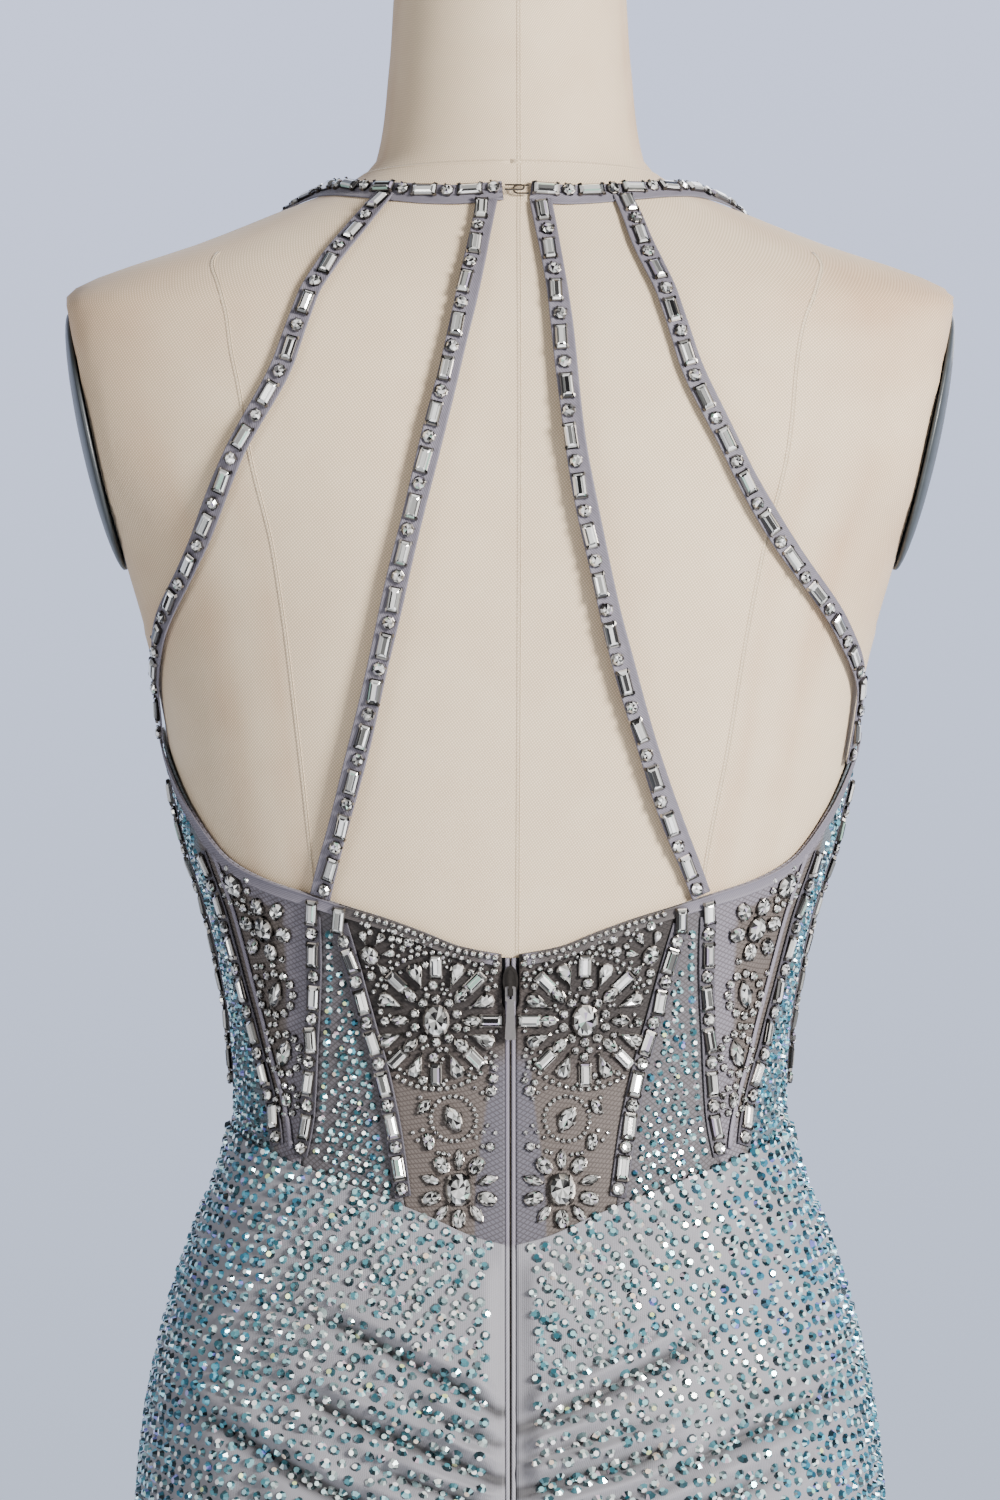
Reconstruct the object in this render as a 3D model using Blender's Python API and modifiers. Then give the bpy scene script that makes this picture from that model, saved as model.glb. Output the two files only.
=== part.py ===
"""Short prom dress with a strapped open back, standing on a limbless dress form.

Metres, +Z up. The origin is the middle of the stand's base, on the floor.
The dress turns its back to -Y, and +X is to the right for someone who looks at that back.
A place on the body is a turn in degrees round the Z axis, 0 at the centre back and
positive towards +X, a height, and a distance out from the dress form's surface.
"""
import math
from collections import namedtuple

import bmesh
import bpy
import numpy as np

# Driving sizes of the dress form and its stand
FORM_BOTTOM = 0.795
FORM_SIDES = 32
FORM_EASE = 0.0006
FORM_EXTRA_CUTS = (0.9620, 1.0235, 1.0570)
POLE_RADIUS = 0.016
BASE_RADIUS = 0.205
BASE_HEIGHT = 0.022
ARMHOLE_TOP = 1.385
ARMHOLE_FOOT = 1.25
ARMHOLE_HALF_WIDTH = 0.1931
ARMHOLE_LEAN = 0.216
PLATE_MIDDLE = 1.332
PLATE_HEIGHT = 0.116
PLATE_DEPTH = 0.092
PLATE_THICK = 0.0035
PLATE_SETBACK = 0.006

# Driving sizes of the cloth
SEAM_GAP = 0.0003
PANEL_INSIDE = 0.0011
PANEL_WALL = 0.0011
FRONT_EASE = 0.0016
FRONT_DROP = 0.0062
SKIRT_INSIDE = 0.0019
SKIRT_WALL = 0.0014
TRIM_LIFT = PANEL_INSIDE + PANEL_WALL + 2 * SEAM_GAP
SIDE_TURN = 92.0
HALF_GAP_TURN = math.degrees(SEAM_GAP / 2 / 0.1)
HEM_HEIGHT = 0.620
ZIP_FOOT = 0.840
TAPE_WIDTH = 0.0045
TAPE_THICK = 0.0010
RIBBON_WIDTH = 0.0098
RIBBON_THICK = 0.0009
BINDING_WIDTH = 0.0052

# The stones sewn along a ribbon: a baguette and a round one, over and over
BAGUETTE_LENGTH = 0.0118
BAGUETTE_WIDTH = 0.0058
ROUND_SIZE = 0.0052
STONE_RISE = 0.0030
STONE_PITCH = 0.0200

# The ruching of the skirt's back, from the centre back seam
RUCHES = 16
RUCHE_DEPTH = 0.0034
RUCHE_LIFT = 0.036
FRONT_DRAPES = 7
FRONT_DRAPE_DEPTH = 0.0012

Section = namedtuple("Section", "height half_width back front square")
Place = namedtuple("Place", "turn height lift")
Swell = namedtuple("Swell", "turn height spread rise out")

# Level cuts through the figure, from the skirt's hem to the neck's top
SECTIONS = (
    Section(0.600, 0.1450, 0.0960, 0.0920, 2.20),
    Section(0.660, 0.1515, 0.1030, 0.0960, 2.20),
    Section(0.730, 0.1580, 0.1120, 0.1000, 2.25),
    Section(0.800, 0.1625, 0.1190, 0.1035, 2.30),
    Section(0.855, 0.1615, 0.1180, 0.1055, 2.30),
    Section(0.890, 0.1590, 0.1140, 0.1055, 2.30),
    Section(0.938, 0.1505, 0.1020, 0.1030, 2.25),
    Section(0.985, 0.1360, 0.0880, 0.0970, 2.20),
    Section(1.007, 0.1270, 0.0830, 0.0930, 2.20),
    Section(1.040, 0.1195, 0.0780, 0.0890, 2.20),
    Section(1.074, 0.1215, 0.0765, 0.0900, 2.20),
    Section(1.098, 0.1255, 0.0780, 0.0920, 2.20),
    Section(1.123, 0.1310, 0.0810, 0.0950, 2.20),
    Section(1.151, 0.1400, 0.0850, 0.1000, 2.20),
    Section(1.190, 0.1495, 0.0910, 0.1070, 2.20),
    Section(1.240, 0.1600, 0.0960, 0.1100, 2.20),
    Section(1.280, 0.1740, 0.0980, 0.1040, 2.20),
    Section(1.320, 0.2000, 0.0980, 0.0930, 2.25),
    Section(1.360, 0.2090, 0.0940, 0.0800, 2.30),
    Section(1.387, 0.2105, 0.0880, 0.0700, 2.30),
    Section(1.401, 0.1895, 0.0820, 0.0630, 2.20),
    Section(1.4195, 0.1372, 0.0715, 0.0545, 2.10),
    Section(1.4345, 0.1000, 0.0625, 0.0500, 2.00),
    Section(1.444, 0.0755, 0.0583, 0.0485, 2.00),
    Section(1.456, 0.0597, 0.0550, 0.0490, 2.00),
    Section(1.498, 0.0538, 0.0520, 0.0510, 2.00),
    Section(1.548, 0.0495, 0.0490, 0.0500, 2.00),
    Section(1.556, 0.0445, 0.0440, 0.0450, 2.00),
)

# The bust, the shoulder blades and the seat stand out from the level cuts, on both sides
SWELLS = (
    Swell(143.0, 1.236, 23.0, 0.048, 0.019),
    Swell(38.0, 1.325, 22.0, 0.050, 0.004),
    Swell(38.0, 0.862, 24.0, 0.055, 0.006),
)

# Upper edge of the low back, from the centre back round to the underarm
BACK_EDGE_TURNS = (0.0, 15.0, 25.0, 35.0, 44.0, 52.0, 61.0, 69.0, 77.0, 85.0, SIDE_TURN)
BACK_EDGE_HEIGHTS = (1.108, 1.112, 1.118, 1.124, 1.129, 1.134, 1.140, 1.149, 1.170, 1.195, 1.206)

# Seam where the skirt joins the bodice, from the centre back round to the centre front
WAIST_TURNS = (0.0, 10.0, 22.0, 30.0, 45.0, 56.0, 75.0, SIDE_TURN, 130.0, 180.0)
WAIST_HEIGHTS = (0.983, 0.987, 0.995, 1.000, 1.009, 1.015, 1.024, 1.028, 1.022, 1.012)

# Turns of the back's upright seams at a few heights, from the top down
SEAM_HEIGHTS = (1.137, 1.105, 1.078, 1.052, 1.025, 0.995)
WEDGE_OUTER_TURNS = (51.0, 53.0, 55.0, 55.5, 56.0, 56.0)
WEDGE_INNER_TURNS = (46.0, 44.0, 41.0, 37.0, 33.0, 28.0)

# Edge of the halter front: its half width in degrees from the centre front
HALTER_HEIGHTS = (1.000, 1.195, 1.206, 1.225, 1.250, 1.290, 1.330, 1.370, 1.410)
HALTER_TURNS = (88.0, 88.0, 84.0, 72.0, 61.0, 50.0, 44.0, 41.0, 43.0)

# Middle line of the neckband, from the centre back over the shoulder to the centre front
NECKBAND_TURNS = (0.0, 20.0, 45.0, 65.0, 80.0, 88.0, 100.0, 120.0, 150.0, 180.0)
NECKBAND_HEIGHTS = (1.4350, 1.4375, 1.4405, 1.4430, 1.4400, 1.4365, 1.4300, 1.4190, 1.4065, 1.4010)
NECKBAND_LEFT_END = -3.0
NECKBAND_RIGHT_END = 8.0
NECKBAND_LIFT = 0.0012

# Routes of the four back straps, from the neckband down to the low back's edge
STRAPS = {
    "strap_outer_left": (
        Place(-46.0, 1.4372, 0.0013), Place(-43.5, 1.4120, 0.0016), Place(-46.0, 1.3650, 0.0018),
        Place(-54.0, 1.3190, 0.0018), Place(-65.0, 1.2740, 0.0020), Place(-77.0, 1.2430, 0.0022),
        Place(-85.0, 1.2170, 0.0024), Place(-86.3, 1.1999, 0.0024)),
    "strap_inner_left": (
        Place(-8.8, 1.4314, 0.0013), Place(-11.0, 1.3970, 0.0018), Place(-15.0, 1.3570, 0.0018),
        Place(-25.0, 1.2770, 0.0022), Place(-37.0, 1.1940, 0.0030), Place(-49.4, 1.1330, 0.0024)),
    "strap_inner_right": (
        Place(11.4, 1.4317, 0.0013), Place(13.0, 1.3860, 0.0018), Place(15.0, 1.3340, 0.0018),
        Place(23.0, 1.2580, 0.0022), Place(37.0, 1.1800, 0.0030), Place(49.5, 1.1337, 0.0024)),
    "strap_outer_right": (
        Place(41.1, 1.4361, 0.0013), Place(37.5, 1.4050, 0.0016), Place(39.0, 1.3640, 0.0018),
        Place(46.0, 1.3180, 0.0018), Place(57.0, 1.2800, 0.0020), Place(70.0, 1.2470, 0.0022),
        Place(79.5, 1.2190, 0.0024), Place(81.2, 1.1905, 0.0024)),
}

# Stoned boning strips of each side: turns and heights from top to foot
BONING = {
    "boning_wedge_inner": ((45.8, 44.2, 41.4, 37.2, 33.4, 29.6), (1.1210, 1.1040, 1.0800, 1.0550, 1.0290, 1.0045)),
    "boning_wedge_outer": ((51.8, 53.2, 55.2, 55.8, 56.2), (1.1245, 1.1000, 1.0700, 1.0450, 1.0200)),
    "boning_side": ((76.0, 73.6, 71.0, 67.0, 62.8), (1.1520, 1.1000, 1.0720, 1.0480, 1.0240)),
    "boning_underarm": ((86.2, 86.4, 86.6, 87.0), (1.1830, 1.1200, 1.0850, 1.0480)),
}

# Large stones and thick flowers raised on the back panels: a round or oval swelling each
NET_STONES = (
    Swell(27.0, 1.0740, 6.5, 0.0100, 0.0030),
    Swell(17.0, 1.0350, 4.5, 0.0080, 0.0022),
    Swell(12.5, 1.0060, 6.0, 0.0090, 0.0026),
    Swell(23.0, 1.0170, 4.5, 0.0070, 0.0022),
)
SIDE_STONES = (
    Swell(63.4, 1.1170, 4.6, 0.0100, 0.0026),
    Swell(63.0, 1.0860, 4.0, 0.0080, 0.0024),
    Swell(62.0, 1.0570, 2.8, 0.0065, 0.0020),
)

# The zip's oval slider at the head of the zip: its hollowed face carries a bridge over the
# pull tab's bar, and the tab widens from its neck to a flat foot
SLIDER_HEIGHT = 1.0970
SLIDER_WIDTH = 0.0066
SLIDER_THICK = 0.0016
SLIDER_LENGTH = 0.0132
HOLLOW_WIDTH = 0.0046
HOLLOW_LENGTH = 0.0100
HOLLOW_DEPTH = 0.0005
BRIDGE_WIDTH = 0.0016
BRIDGE_TOP = 0.0049
BRIDGE_FOOT = -0.0062
BRIDGE_THICK = 0.0008
TAB_DROP = 0.0026
TAB_LENGTH = 0.0224
TAB_TOP_WIDTH = 0.0044
TAB_NECK_WIDTH = 0.0028
TAB_FOOT_WIDTH = 0.0048
TAB_SHOULDER = 0.0006
TAB_THICK = 0.0010
TAB_PLAY = 0.00035
TAB_WINDOW_WIDTH = BRIDGE_WIDTH + 2 * TAB_PLAY
TAB_WINDOW_LENGTH = 0.0046

HEIGHTS = np.array([s.height for s in SECTIONS])


# Curves and surfaces of the figure

def smooth_value(at, places, values):
    """Curve through the values that never swings past them, from harmonic mean slopes."""
    places = np.asarray(places, float)
    values = np.asarray(values, float)
    steps = np.diff(places)
    rises = np.diff(values) / steps
    slopes = np.concatenate([rises[:1], np.zeros(len(places) - 2), rises[-1:]])
    before, after = rises[:-1], rises[1:]
    same_way = before * after > 0
    ahead = 2 * steps[1:] + steps[:-1]
    behind = steps[1:] + 2 * steps[:-1]
    safe_before = np.where(same_way, before, 1.0)
    safe_after = np.where(same_way, after, 1.0)
    mean = (ahead + behind) / (ahead / safe_before + behind / safe_after)
    slopes[1:-1] = np.where(same_way, mean, 0.0)
    at = np.clip(at, places[0], places[-1])
    index = np.clip(np.searchsorted(places, at) - 1, 0, len(places) - 2)
    step = steps[index]
    t = (at - places[index]) / step
    start = (1 + 2 * t) * (1 - t) ** 2 * values[index] + t * (1 - t) ** 2 * step * slopes[index]
    end = t * t * (3 - 2 * t) * values[index + 1] + t * t * (t - 1) * step * slopes[index + 1]
    return start + end


def section_value(height, column):
    """One column of the level cuts at any height."""
    return smooth_value(height, HEIGHTS, [getattr(s, column) for s in SECTIONS])


def armhole_plane(height):
    """Distance of the flat armhole from the middle; it leans in towards its foot."""
    return ARMHOLE_HALF_WIDTH - ARMHOLE_LEAN * (ARMHOLE_TOP - height)


def body_radius(turn, height):
    """Radius of the figure: a superellipse with the swells added, cut flat at the armholes."""
    side = np.abs(np.sin(np.radians(turn)))
    ahead = -np.cos(np.radians(turn))
    depth = np.where(ahead < 0, section_value(height, "back"), section_value(height, "front"))
    square = section_value(height, "square")
    width = section_value(height, "half_width")
    radius = ((side / width) ** square + (np.abs(ahead) / depth) ** square) ** (-1 / square)
    folded = np.abs((np.asarray(turn) + 180) % 360 - 180)
    for swell in SWELLS:
        bend = ((folded - swell.turn) / swell.spread) ** 2 + ((height - swell.height) / swell.rise) ** 2
        radius = radius + swell.out * np.exp(-bend)
    cut = armhole_plane(height) / np.maximum(side, 1e-6)
    return np.where(np.asarray(height) > ARMHOLE_FOOT, np.minimum(radius, cut), radius)


def skin_point(turn, height):
    """Point on the figure's own surface."""
    radius = body_radius(turn, height)
    angle = np.radians(turn)
    return np.stack([radius * np.sin(angle), -radius * np.cos(angle), height + 0 * radius], -1)


def skin_normal(turn, height):
    """Outward direction of the figure's surface, from two small steps along it."""
    across = skin_point(turn + 0.05, height) - skin_point(turn - 0.05, height)
    up = skin_point(turn, height + 0.0002) - skin_point(turn, height - 0.0002)
    normal = np.cross(across, up)
    return normal / np.linalg.norm(normal, axis=-1, keepdims=True)


def body_point(turn, height, out):
    """Point at a distance out from the figure's surface."""
    turn, height, out = np.broadcast_arrays(*(np.asarray(v, float) for v in (turn, height, out)))
    return skin_point(turn, height) + skin_normal(turn, height) * out[..., None]


def turn_at(across, height):
    """Turn of a point that lies a short way to the side of the centre back."""
    return np.degrees(np.arcsin(across / body_radius(0.0, height)))


def back_edge(turn):
    return smooth_value(np.abs(turn), BACK_EDGE_TURNS, BACK_EDGE_HEIGHTS)


def waist_seam(turn):
    return smooth_value(np.abs(turn), WAIST_TURNS, WAIST_HEIGHTS)


def upright_seam(height, turns):
    """Turn of an upright seam at a height; the tables run downwards."""
    return smooth_value(height, SEAM_HEIGHTS[::-1], turns[::-1])


# Scene, materials and mesh helpers

def clear_scene():
    for old in list(bpy.data.objects):
        bpy.data.objects.remove(old, do_unlink=True)


def new_collection(name):
    collection = bpy.data.collections.new(name)
    bpy.context.scene.collection.children.link(collection)
    return collection


def new_material(name, colour, roughness, metallic=0.0):
    material = bpy.data.materials.new(name)
    material.use_nodes = True
    shader = material.node_tree.nodes["Principled BSDF"]
    shader.inputs["Base Color"].default_value = (*colour, 1.0)
    shader.inputs["Roughness"].default_value = roughness
    shader.inputs["Metallic"].default_value = metallic
    return material


def finish_object(obj, material, collection):
    """Give an object its material and its place in the collection."""
    obj.data.materials.clear()
    obj.data.materials.append(material)
    for holder in list(obj.users_collection):
        holder.objects.unlink(obj)
    collection.objects.link(obj)
    return obj


def object_from_faces(name, points, faces, material, collection):
    """Closed mesh from points and faces, with every face turned outwards."""
    mesh = bpy.data.meshes.new(name)
    mesh.from_pydata([tuple(p) for p in points], [], faces)
    work = bmesh.new()
    work.from_mesh(mesh)
    bmesh.ops.recalc_face_normals(work, faces=work.faces)
    work.to_mesh(mesh)
    work.free()
    mesh.update()
    return finish_object(bpy.data.objects.new(name, mesh), material, collection)


def wall(name, inner, outer, material, collection):
    """Cloth wall between two grids of points, closed all round its rim."""
    rows, columns = inner.shape[:2]
    points = np.concatenate([outer.reshape(-1, 3), inner.reshape(-1, 3)])
    back = rows * columns
    faces = []
    for r in range(rows - 1):
        for c in range(columns - 1):
            a = r * columns + c
            quad = (a, a + 1, a + columns + 1, a + columns)
            faces.append(quad)
            faces.append(tuple(i + back for i in reversed(quad)))
    rim = list(range(columns))
    rim += [r * columns + columns - 1 for r in range(1, rows)]
    rim += [(rows - 1) * columns + c for c in range(columns - 2, -1, -1)]
    rim += [r * columns for r in range(rows - 2, 0, -1)]
    for a, b in zip(rim, rim[1:] + rim[:1]):
        faces.append((b, a, a + back, b + back))
    return object_from_faces(name, points, faces, material, collection)


def loft(name, rings, material, collection):
    """Solid through closed rings of equal counts, with a flat end at each end."""
    rows, count = rings.shape[:2]
    faces = []
    for r in range(rows - 1):
        for c in range(count):
            a = r * count + c
            b = r * count + (c + 1) % count
            faces.append((a, b, b + count, a + count))
    faces.append(tuple(range(count)))
    faces.append(tuple(reversed(range((rows - 1) * count, rows * count))))
    return object_from_faces(name, rings.reshape(-1, 3), faces, material, collection)


# Cloth walls on the figure

def panel_grid(left, right, top, bottom, rows, columns):
    """Turns and heights of a panel between four edges.

    The side edges are turns at a height and the upper and lower edges are heights at a turn,
    so a few rounds settle the two against each other.
    """
    down = np.linspace(0, 1, rows)[:, None]
    along = np.linspace(0, 1, columns)[None, :]
    height = np.full((rows, columns), 1.06)
    for _ in range(12):
        turn = left(height) + (right(height) - left(height)) * along
        height = top(turn) + (bottom(turn) - top(turn)) * down
    return turn, height


def raised_stones(turn, height, stones):
    """How far the stones lift a panel's outer side: a rounded dome over each."""
    rise = np.zeros(np.shape(turn))
    for stone in stones:
        away = ((turn - stone.turn) / stone.spread) ** 2 + ((height - stone.height) / stone.rise) ** 2
        rise = np.maximum(rise, stone.out * np.sqrt(np.clip(1 - away, 0, 1)))
    return rise


def add_panel(name, edges, size, stones, material, collection, side):
    """Panel between its left, right, top and bottom edges, as rows and columns of points."""
    turn, height = panel_grid(*edges, *size)
    inner = body_point(side * turn, height, PANEL_INSIDE)
    outer = body_point(side * turn, height, PANEL_INSIDE + PANEL_WALL + raised_stones(turn, height, stones))
    return wall(name, inner, outer, material, collection)


def route_points(turns, heights, lifts, stations=None):
    """Middle line of a ribbon with its outward and sideways directions.

    Stations are distances along the line; without them only its length is worked out.
    """
    steps = np.arange(len(turns))
    dense = np.linspace(0, len(turns) - 1, 600)
    turn = smooth_value(dense, steps, turns)
    height = smooth_value(dense, steps, heights)
    lift = smooth_value(dense, steps, lifts)
    line = body_point(turn, height, lift)
    run = np.concatenate([[0.0], np.cumsum(np.linalg.norm(np.diff(line, axis=0), axis=1))])
    if stations is None:
        return run[-1]
    place = np.interp(stations, run, dense)
    turn_s = smooth_value(place, steps, turns)
    height_s = smooth_value(place, steps, heights)
    lift_s = smooth_value(place, steps, lifts)
    centre = body_point(turn_s, height_s, lift_s)
    ahead = np.stack([np.interp(stations, run, np.gradient(line[:, k], run)) for k in range(3)], -1)
    ahead /= np.linalg.norm(ahead, axis=-1, keepdims=True)
    outward = skin_normal(turn_s, height_s)
    outward -= ahead * np.sum(outward * ahead, axis=-1, keepdims=True)
    outward /= np.linalg.norm(outward, axis=-1, keepdims=True)
    return centre, outward, np.cross(outward, ahead)


def ribbon(name, turns, heights, lifts, stations, tops, rises, width, material, collection):
    """Flat ribbon whose outer side has the given half widths and rises at its stations."""
    centre, outward, aside = route_points(turns, heights, lifts, stations)
    half = width / 2
    tops = np.asarray(tops)[:, None]
    rises = np.asarray(rises)[:, None]
    rings = np.stack([
        centre - aside * half,
        centre + aside * half,
        centre + aside * tops + outward * rises,
        centre - aside * tops + outward * rises], 1)
    return loft(name, rings, material, collection)


def stone_stations(length):
    """Where a stoned ribbon rises and falls: distances, top half widths and rises."""
    count = max(1, int(length / STONE_PITCH))
    pitch = length / count
    gap = (pitch - BAGUETTE_LENGTH - ROUND_SIZE) / 2
    flat = RIBBON_WIDTH / 2 - 0.0004
    table = []
    for index in range(count):
        start = index * pitch
        first = start + gap / 2
        second = first + BAGUETTE_LENGTH + gap
        table.append((start, flat, RIBBON_THICK))
        table.append((first, BAGUETTE_WIDTH / 2, STONE_RISE))
        table.append((first + BAGUETTE_LENGTH, BAGUETTE_WIDTH / 2, STONE_RISE))
        table.append((first + BAGUETTE_LENGTH + gap / 2, flat, RIBBON_THICK))
        table.append((second, ROUND_SIZE / 2, STONE_RISE))
        table.append((second + ROUND_SIZE, ROUND_SIZE / 2, STONE_RISE))
    table.append((length, flat, RIBBON_THICK))
    return np.array(table).T


def stoned_ribbon(name, turns, heights, lifts, material, collection):
    length = route_points(turns, heights, lifts)
    stations, tops, rises = stone_stations(length)
    return ribbon(name, turns, heights, lifts, stations, tops, rises, RIBBON_WIDTH, material, collection)


# The dress form and its stand

def build_form(materials, collection):
    """The torso and neck as one smooth solid through the level cuts."""
    heights = [s.height for s in SECTIONS if FORM_BOTTOM + 0.01 < s.height]
    heights = sorted([FORM_BOTTOM, *heights, *FORM_EXTRA_CUTS])
    turns = np.linspace(0, 360, FORM_SIDES, endpoint=False)
    turn, height = np.meshgrid(turns, np.array(heights))
    loft("form_torso", body_point(turn, height, -FORM_EASE), materials["canvas"], collection)


def build_arm_plates(materials, collection):
    """Flat oval plates that close the armholes, parallel to the leaning cut."""
    lean = math.atan(ARMHOLE_LEAN)
    offset = SEAM_GAP + PLATE_THICK / 2
    for name, side in (("arm_plate_left", -1), ("arm_plate_right", 1)):
        x = side * (armhole_plane(PLATE_MIDDLE) + offset * math.cos(lean))
        z = PLATE_MIDDLE - offset * math.sin(lean)
        bpy.ops.mesh.primitive_cylinder_add(
            vertices=28, radius=0.5, depth=PLATE_THICK, location=(x, -PLATE_SETBACK, z))
        plate = bpy.context.object
        plate.name = name
        plate.scale = (PLATE_HEIGHT, PLATE_DEPTH, 1.0)
        plate.rotation_euler = (0.0, side * (math.pi / 2 + lean), 0.0)
        finish_object(plate, materials["plate"], collection)


def build_stand(materials, collection):
    """Round base with a rounded rim, turned from its profile, and a plain pole."""
    profile = [
        (0.0, BASE_HEIGHT), (0.030, BASE_HEIGHT), (0.055, BASE_HEIGHT - 0.006),
        (BASE_RADIUS - 0.012, 0.010), (BASE_RADIUS - 0.002, 0.007), (BASE_RADIUS, 0.004),
        (BASE_RADIUS, 0.0), (0.0, 0.0)]
    mesh = bpy.data.meshes.new("stand_base")
    edges = [(i, i + 1) for i in range(len(profile) - 1)]
    mesh.from_pydata([(x, 0.0, z) for x, z in profile], edges, [])
    base = bpy.data.objects.new("stand_base", mesh)
    turned = base.modifiers.new("turn", "SCREW")
    turned.axis = "Z"
    turned.steps = 36
    turned.render_steps = 36
    turned.use_merge_vertices = True
    turned.merge_threshold = 0.0001
    finish_object(base, materials["stand"], collection)
    low = BASE_HEIGHT + SEAM_GAP
    high = FORM_BOTTOM - SEAM_GAP
    bpy.ops.mesh.primitive_cylinder_add(
        vertices=20, radius=POLE_RADIUS, depth=high - low, location=(0, 0, (high + low) / 2))
    pole = bpy.context.object
    pole.name = "stand_pole"
    finish_object(pole, materials["stand"], collection)


# The bodice

def build_back_panels(materials, collection):
    """Six back panels: net by the zip, a stoned wedge beside it and the side back."""
    zip_edge = TAPE_WIDTH + 2 * SEAM_GAP

    def lower(turn):
        return waist_seam(turn) + SEAM_GAP

    def beside_zip(height):
        return turn_at(zip_edge, height)

    def inner_seam(height, way):
        return upright_seam(height, WEDGE_INNER_TURNS) + way * HALF_GAP_TURN

    def outer_seam(height, way):
        return upright_seam(height, WEDGE_OUTER_TURNS) + way * HALF_GAP_TURN

    def side_seam(height):
        return SIDE_TURN - HALF_GAP_TURN + 0 * height

    panels = (
        ("back_net_", beside_zip, lambda h: inner_seam(h, -1), (15, 10), NET_STONES, "net"),
        ("back_wedge_", lambda h: inner_seam(h, 1), lambda h: outer_seam(h, -1), (8, 4), (), "stoned"),
        ("back_side_", lambda h: outer_seam(h, 1), side_seam, (15, 8), SIDE_STONES, "net"),
    )
    for word, side in (("left", -1), ("right", 1)):
        for stem, left, right, size, stones, cloth in panels:
            edges = (left, right, back_edge, lower)
            add_panel(stem + word, edges, size, stones, materials[cloth], collection, side)


def build_bodice_front(materials, collection):
    """Halter front, from underarm to underarm and up to the neckband."""
    rows, columns = 18, 21
    along = np.linspace(-1, 1, columns)[None, :]
    down = np.linspace(0, 1, rows)[:, None]
    height = np.full((rows, columns), 1.2)
    for _ in range(40):
        half = smooth_value(height, HALTER_HEIGHTS, HALTER_TURNS)
        half = half - HALF_GAP_TURN
        turn = 180 + half * along
        folded = 360 - np.where(turn > 180, turn, 360 - turn)
        band = smooth_value(folded, NECKBAND_TURNS, NECKBAND_HEIGHTS) - FRONT_DROP
        goal = band + (waist_seam(folded) + SEAM_GAP - band) * down
        height = 0.5 * height + 0.5 * goal
    out = PANEL_INSIDE + FRONT_EASE * np.clip((half * (1 - np.abs(along)) + 2) / 16, 0, 1)
    inner = body_point(turn, height, out)
    outer = body_point(turn, height, out + PANEL_WALL)
    wall("bodice_front", inner, outer, materials["stoned"], collection)


def build_boning(materials, collection):
    """Stoned strips that run down the back's seams from its upper edge."""
    for stem, (turns, heights) in BONING.items():
        for word, side in (("left", -1), ("right", 1)):
            lifts = [TRIM_LIFT] * len(turns)
            sided = [side * t for t in turns]
            stoned_ribbon(stem + "_" + word, sided, heights, lifts, materials["ribbon"], collection)


def build_bindings(materials, collection):
    """Narrow binding along the low back's upper edge, on top of the panels."""
    for word, side in (("left", -1), ("right", 1)):
        turns = np.array([turn_at(TAPE_WIDTH + 0.001, BACK_EDGE_HEIGHTS[0]), *BACK_EDGE_TURNS[1:-1], SIDE_TURN - 1])
        heights = back_edge(turns) - BINDING_WIDTH / 2
        lifts = np.full(len(turns), TRIM_LIFT)
        stations = np.linspace(0, route_points(side * turns, heights, lifts), 24)
        tops = np.full(24, BINDING_WIDTH / 2 - 0.0004)
        rises = np.full(24, RIBBON_THICK)
        ribbon(
            "back_binding_" + word, side * turns, heights, lifts, stations, tops, rises,
            BINDING_WIDTH, materials["ribbon"], collection)


# Neckband and straps

def build_neckband(materials, collection):
    """One stoned band from its right end round the front of the neck to its left end."""
    turns = np.concatenate([[NECKBAND_RIGHT_END], np.arange(20.0, 341.0, 10.0), [360 + NECKBAND_LEFT_END]])
    folded = np.where(turns > 180, 360 - turns, turns)
    heights = smooth_value(folded, NECKBAND_TURNS, NECKBAND_HEIGHTS)
    lifts = np.full(len(turns), NECKBAND_LIFT)
    stoned_ribbon("neckband", turns, heights, lifts, materials["ribbon"], collection)


def build_straps(materials, collection):
    for name, places in STRAPS.items():
        turns = [p.turn for p in places]
        heights = [p.height for p in places]
        lifts = [p.lift for p in places]
        stoned_ribbon(name, turns, heights, lifts, materials["ribbon"], collection)


def wire(name, points, radius, material, collection):
    """Bent wire with closed ends."""
    data = bpy.data.curves.new(name, "CURVE")
    data.dimensions = "3D"
    data.bevel_depth = radius
    data.bevel_resolution = 2
    data.use_fill_caps = True
    spline = data.splines.new("POLY")
    spline.points.add(len(points) - 1)
    for target, point in zip(spline.points, points):
        target.co = (*point, 1.0)
    return finish_object(bpy.data.objects.new(name, data), material, collection)


def build_hook_and_eye(materials, collection):
    """Wire hook on the neckband's left end that lies over the wire eye on its right end."""
    height = float(smooth_value(2.0, NECKBAND_TURNS, NECKBAND_HEIGHTS))
    left_end = float(skin_point(NECKBAND_LEFT_END, height)[0]) + 0.0009
    right_end = float(skin_point(NECKBAND_RIGHT_END, height)[0]) - 0.0009
    parts = (
        ("neck_hook", left_end, right_end - 0.0020, 0.0011, 0.0042),
        ("neck_eye", right_end, left_end + 0.0035, 0.0019, 0.0026))
    for name, root, tip, half, out in parts:
        shoulder = tip - math.copysign(half, tip - root)
        outline = [
            (root, -half), (shoulder, -half), (tip - math.copysign(half * 0.3, tip - root), -half * 0.7),
            (tip, 0.0), (tip - math.copysign(half * 0.3, tip - root), half * 0.7), (shoulder, half), (root, half)]
        points = []
        for x, rise in outline:
            place = body_point(float(turn_at(x, height)), height + rise, out)
            points.append(tuple(place))
        wire(name, points, 0.0004, materials["metal"], collection)


# The zip

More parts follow.
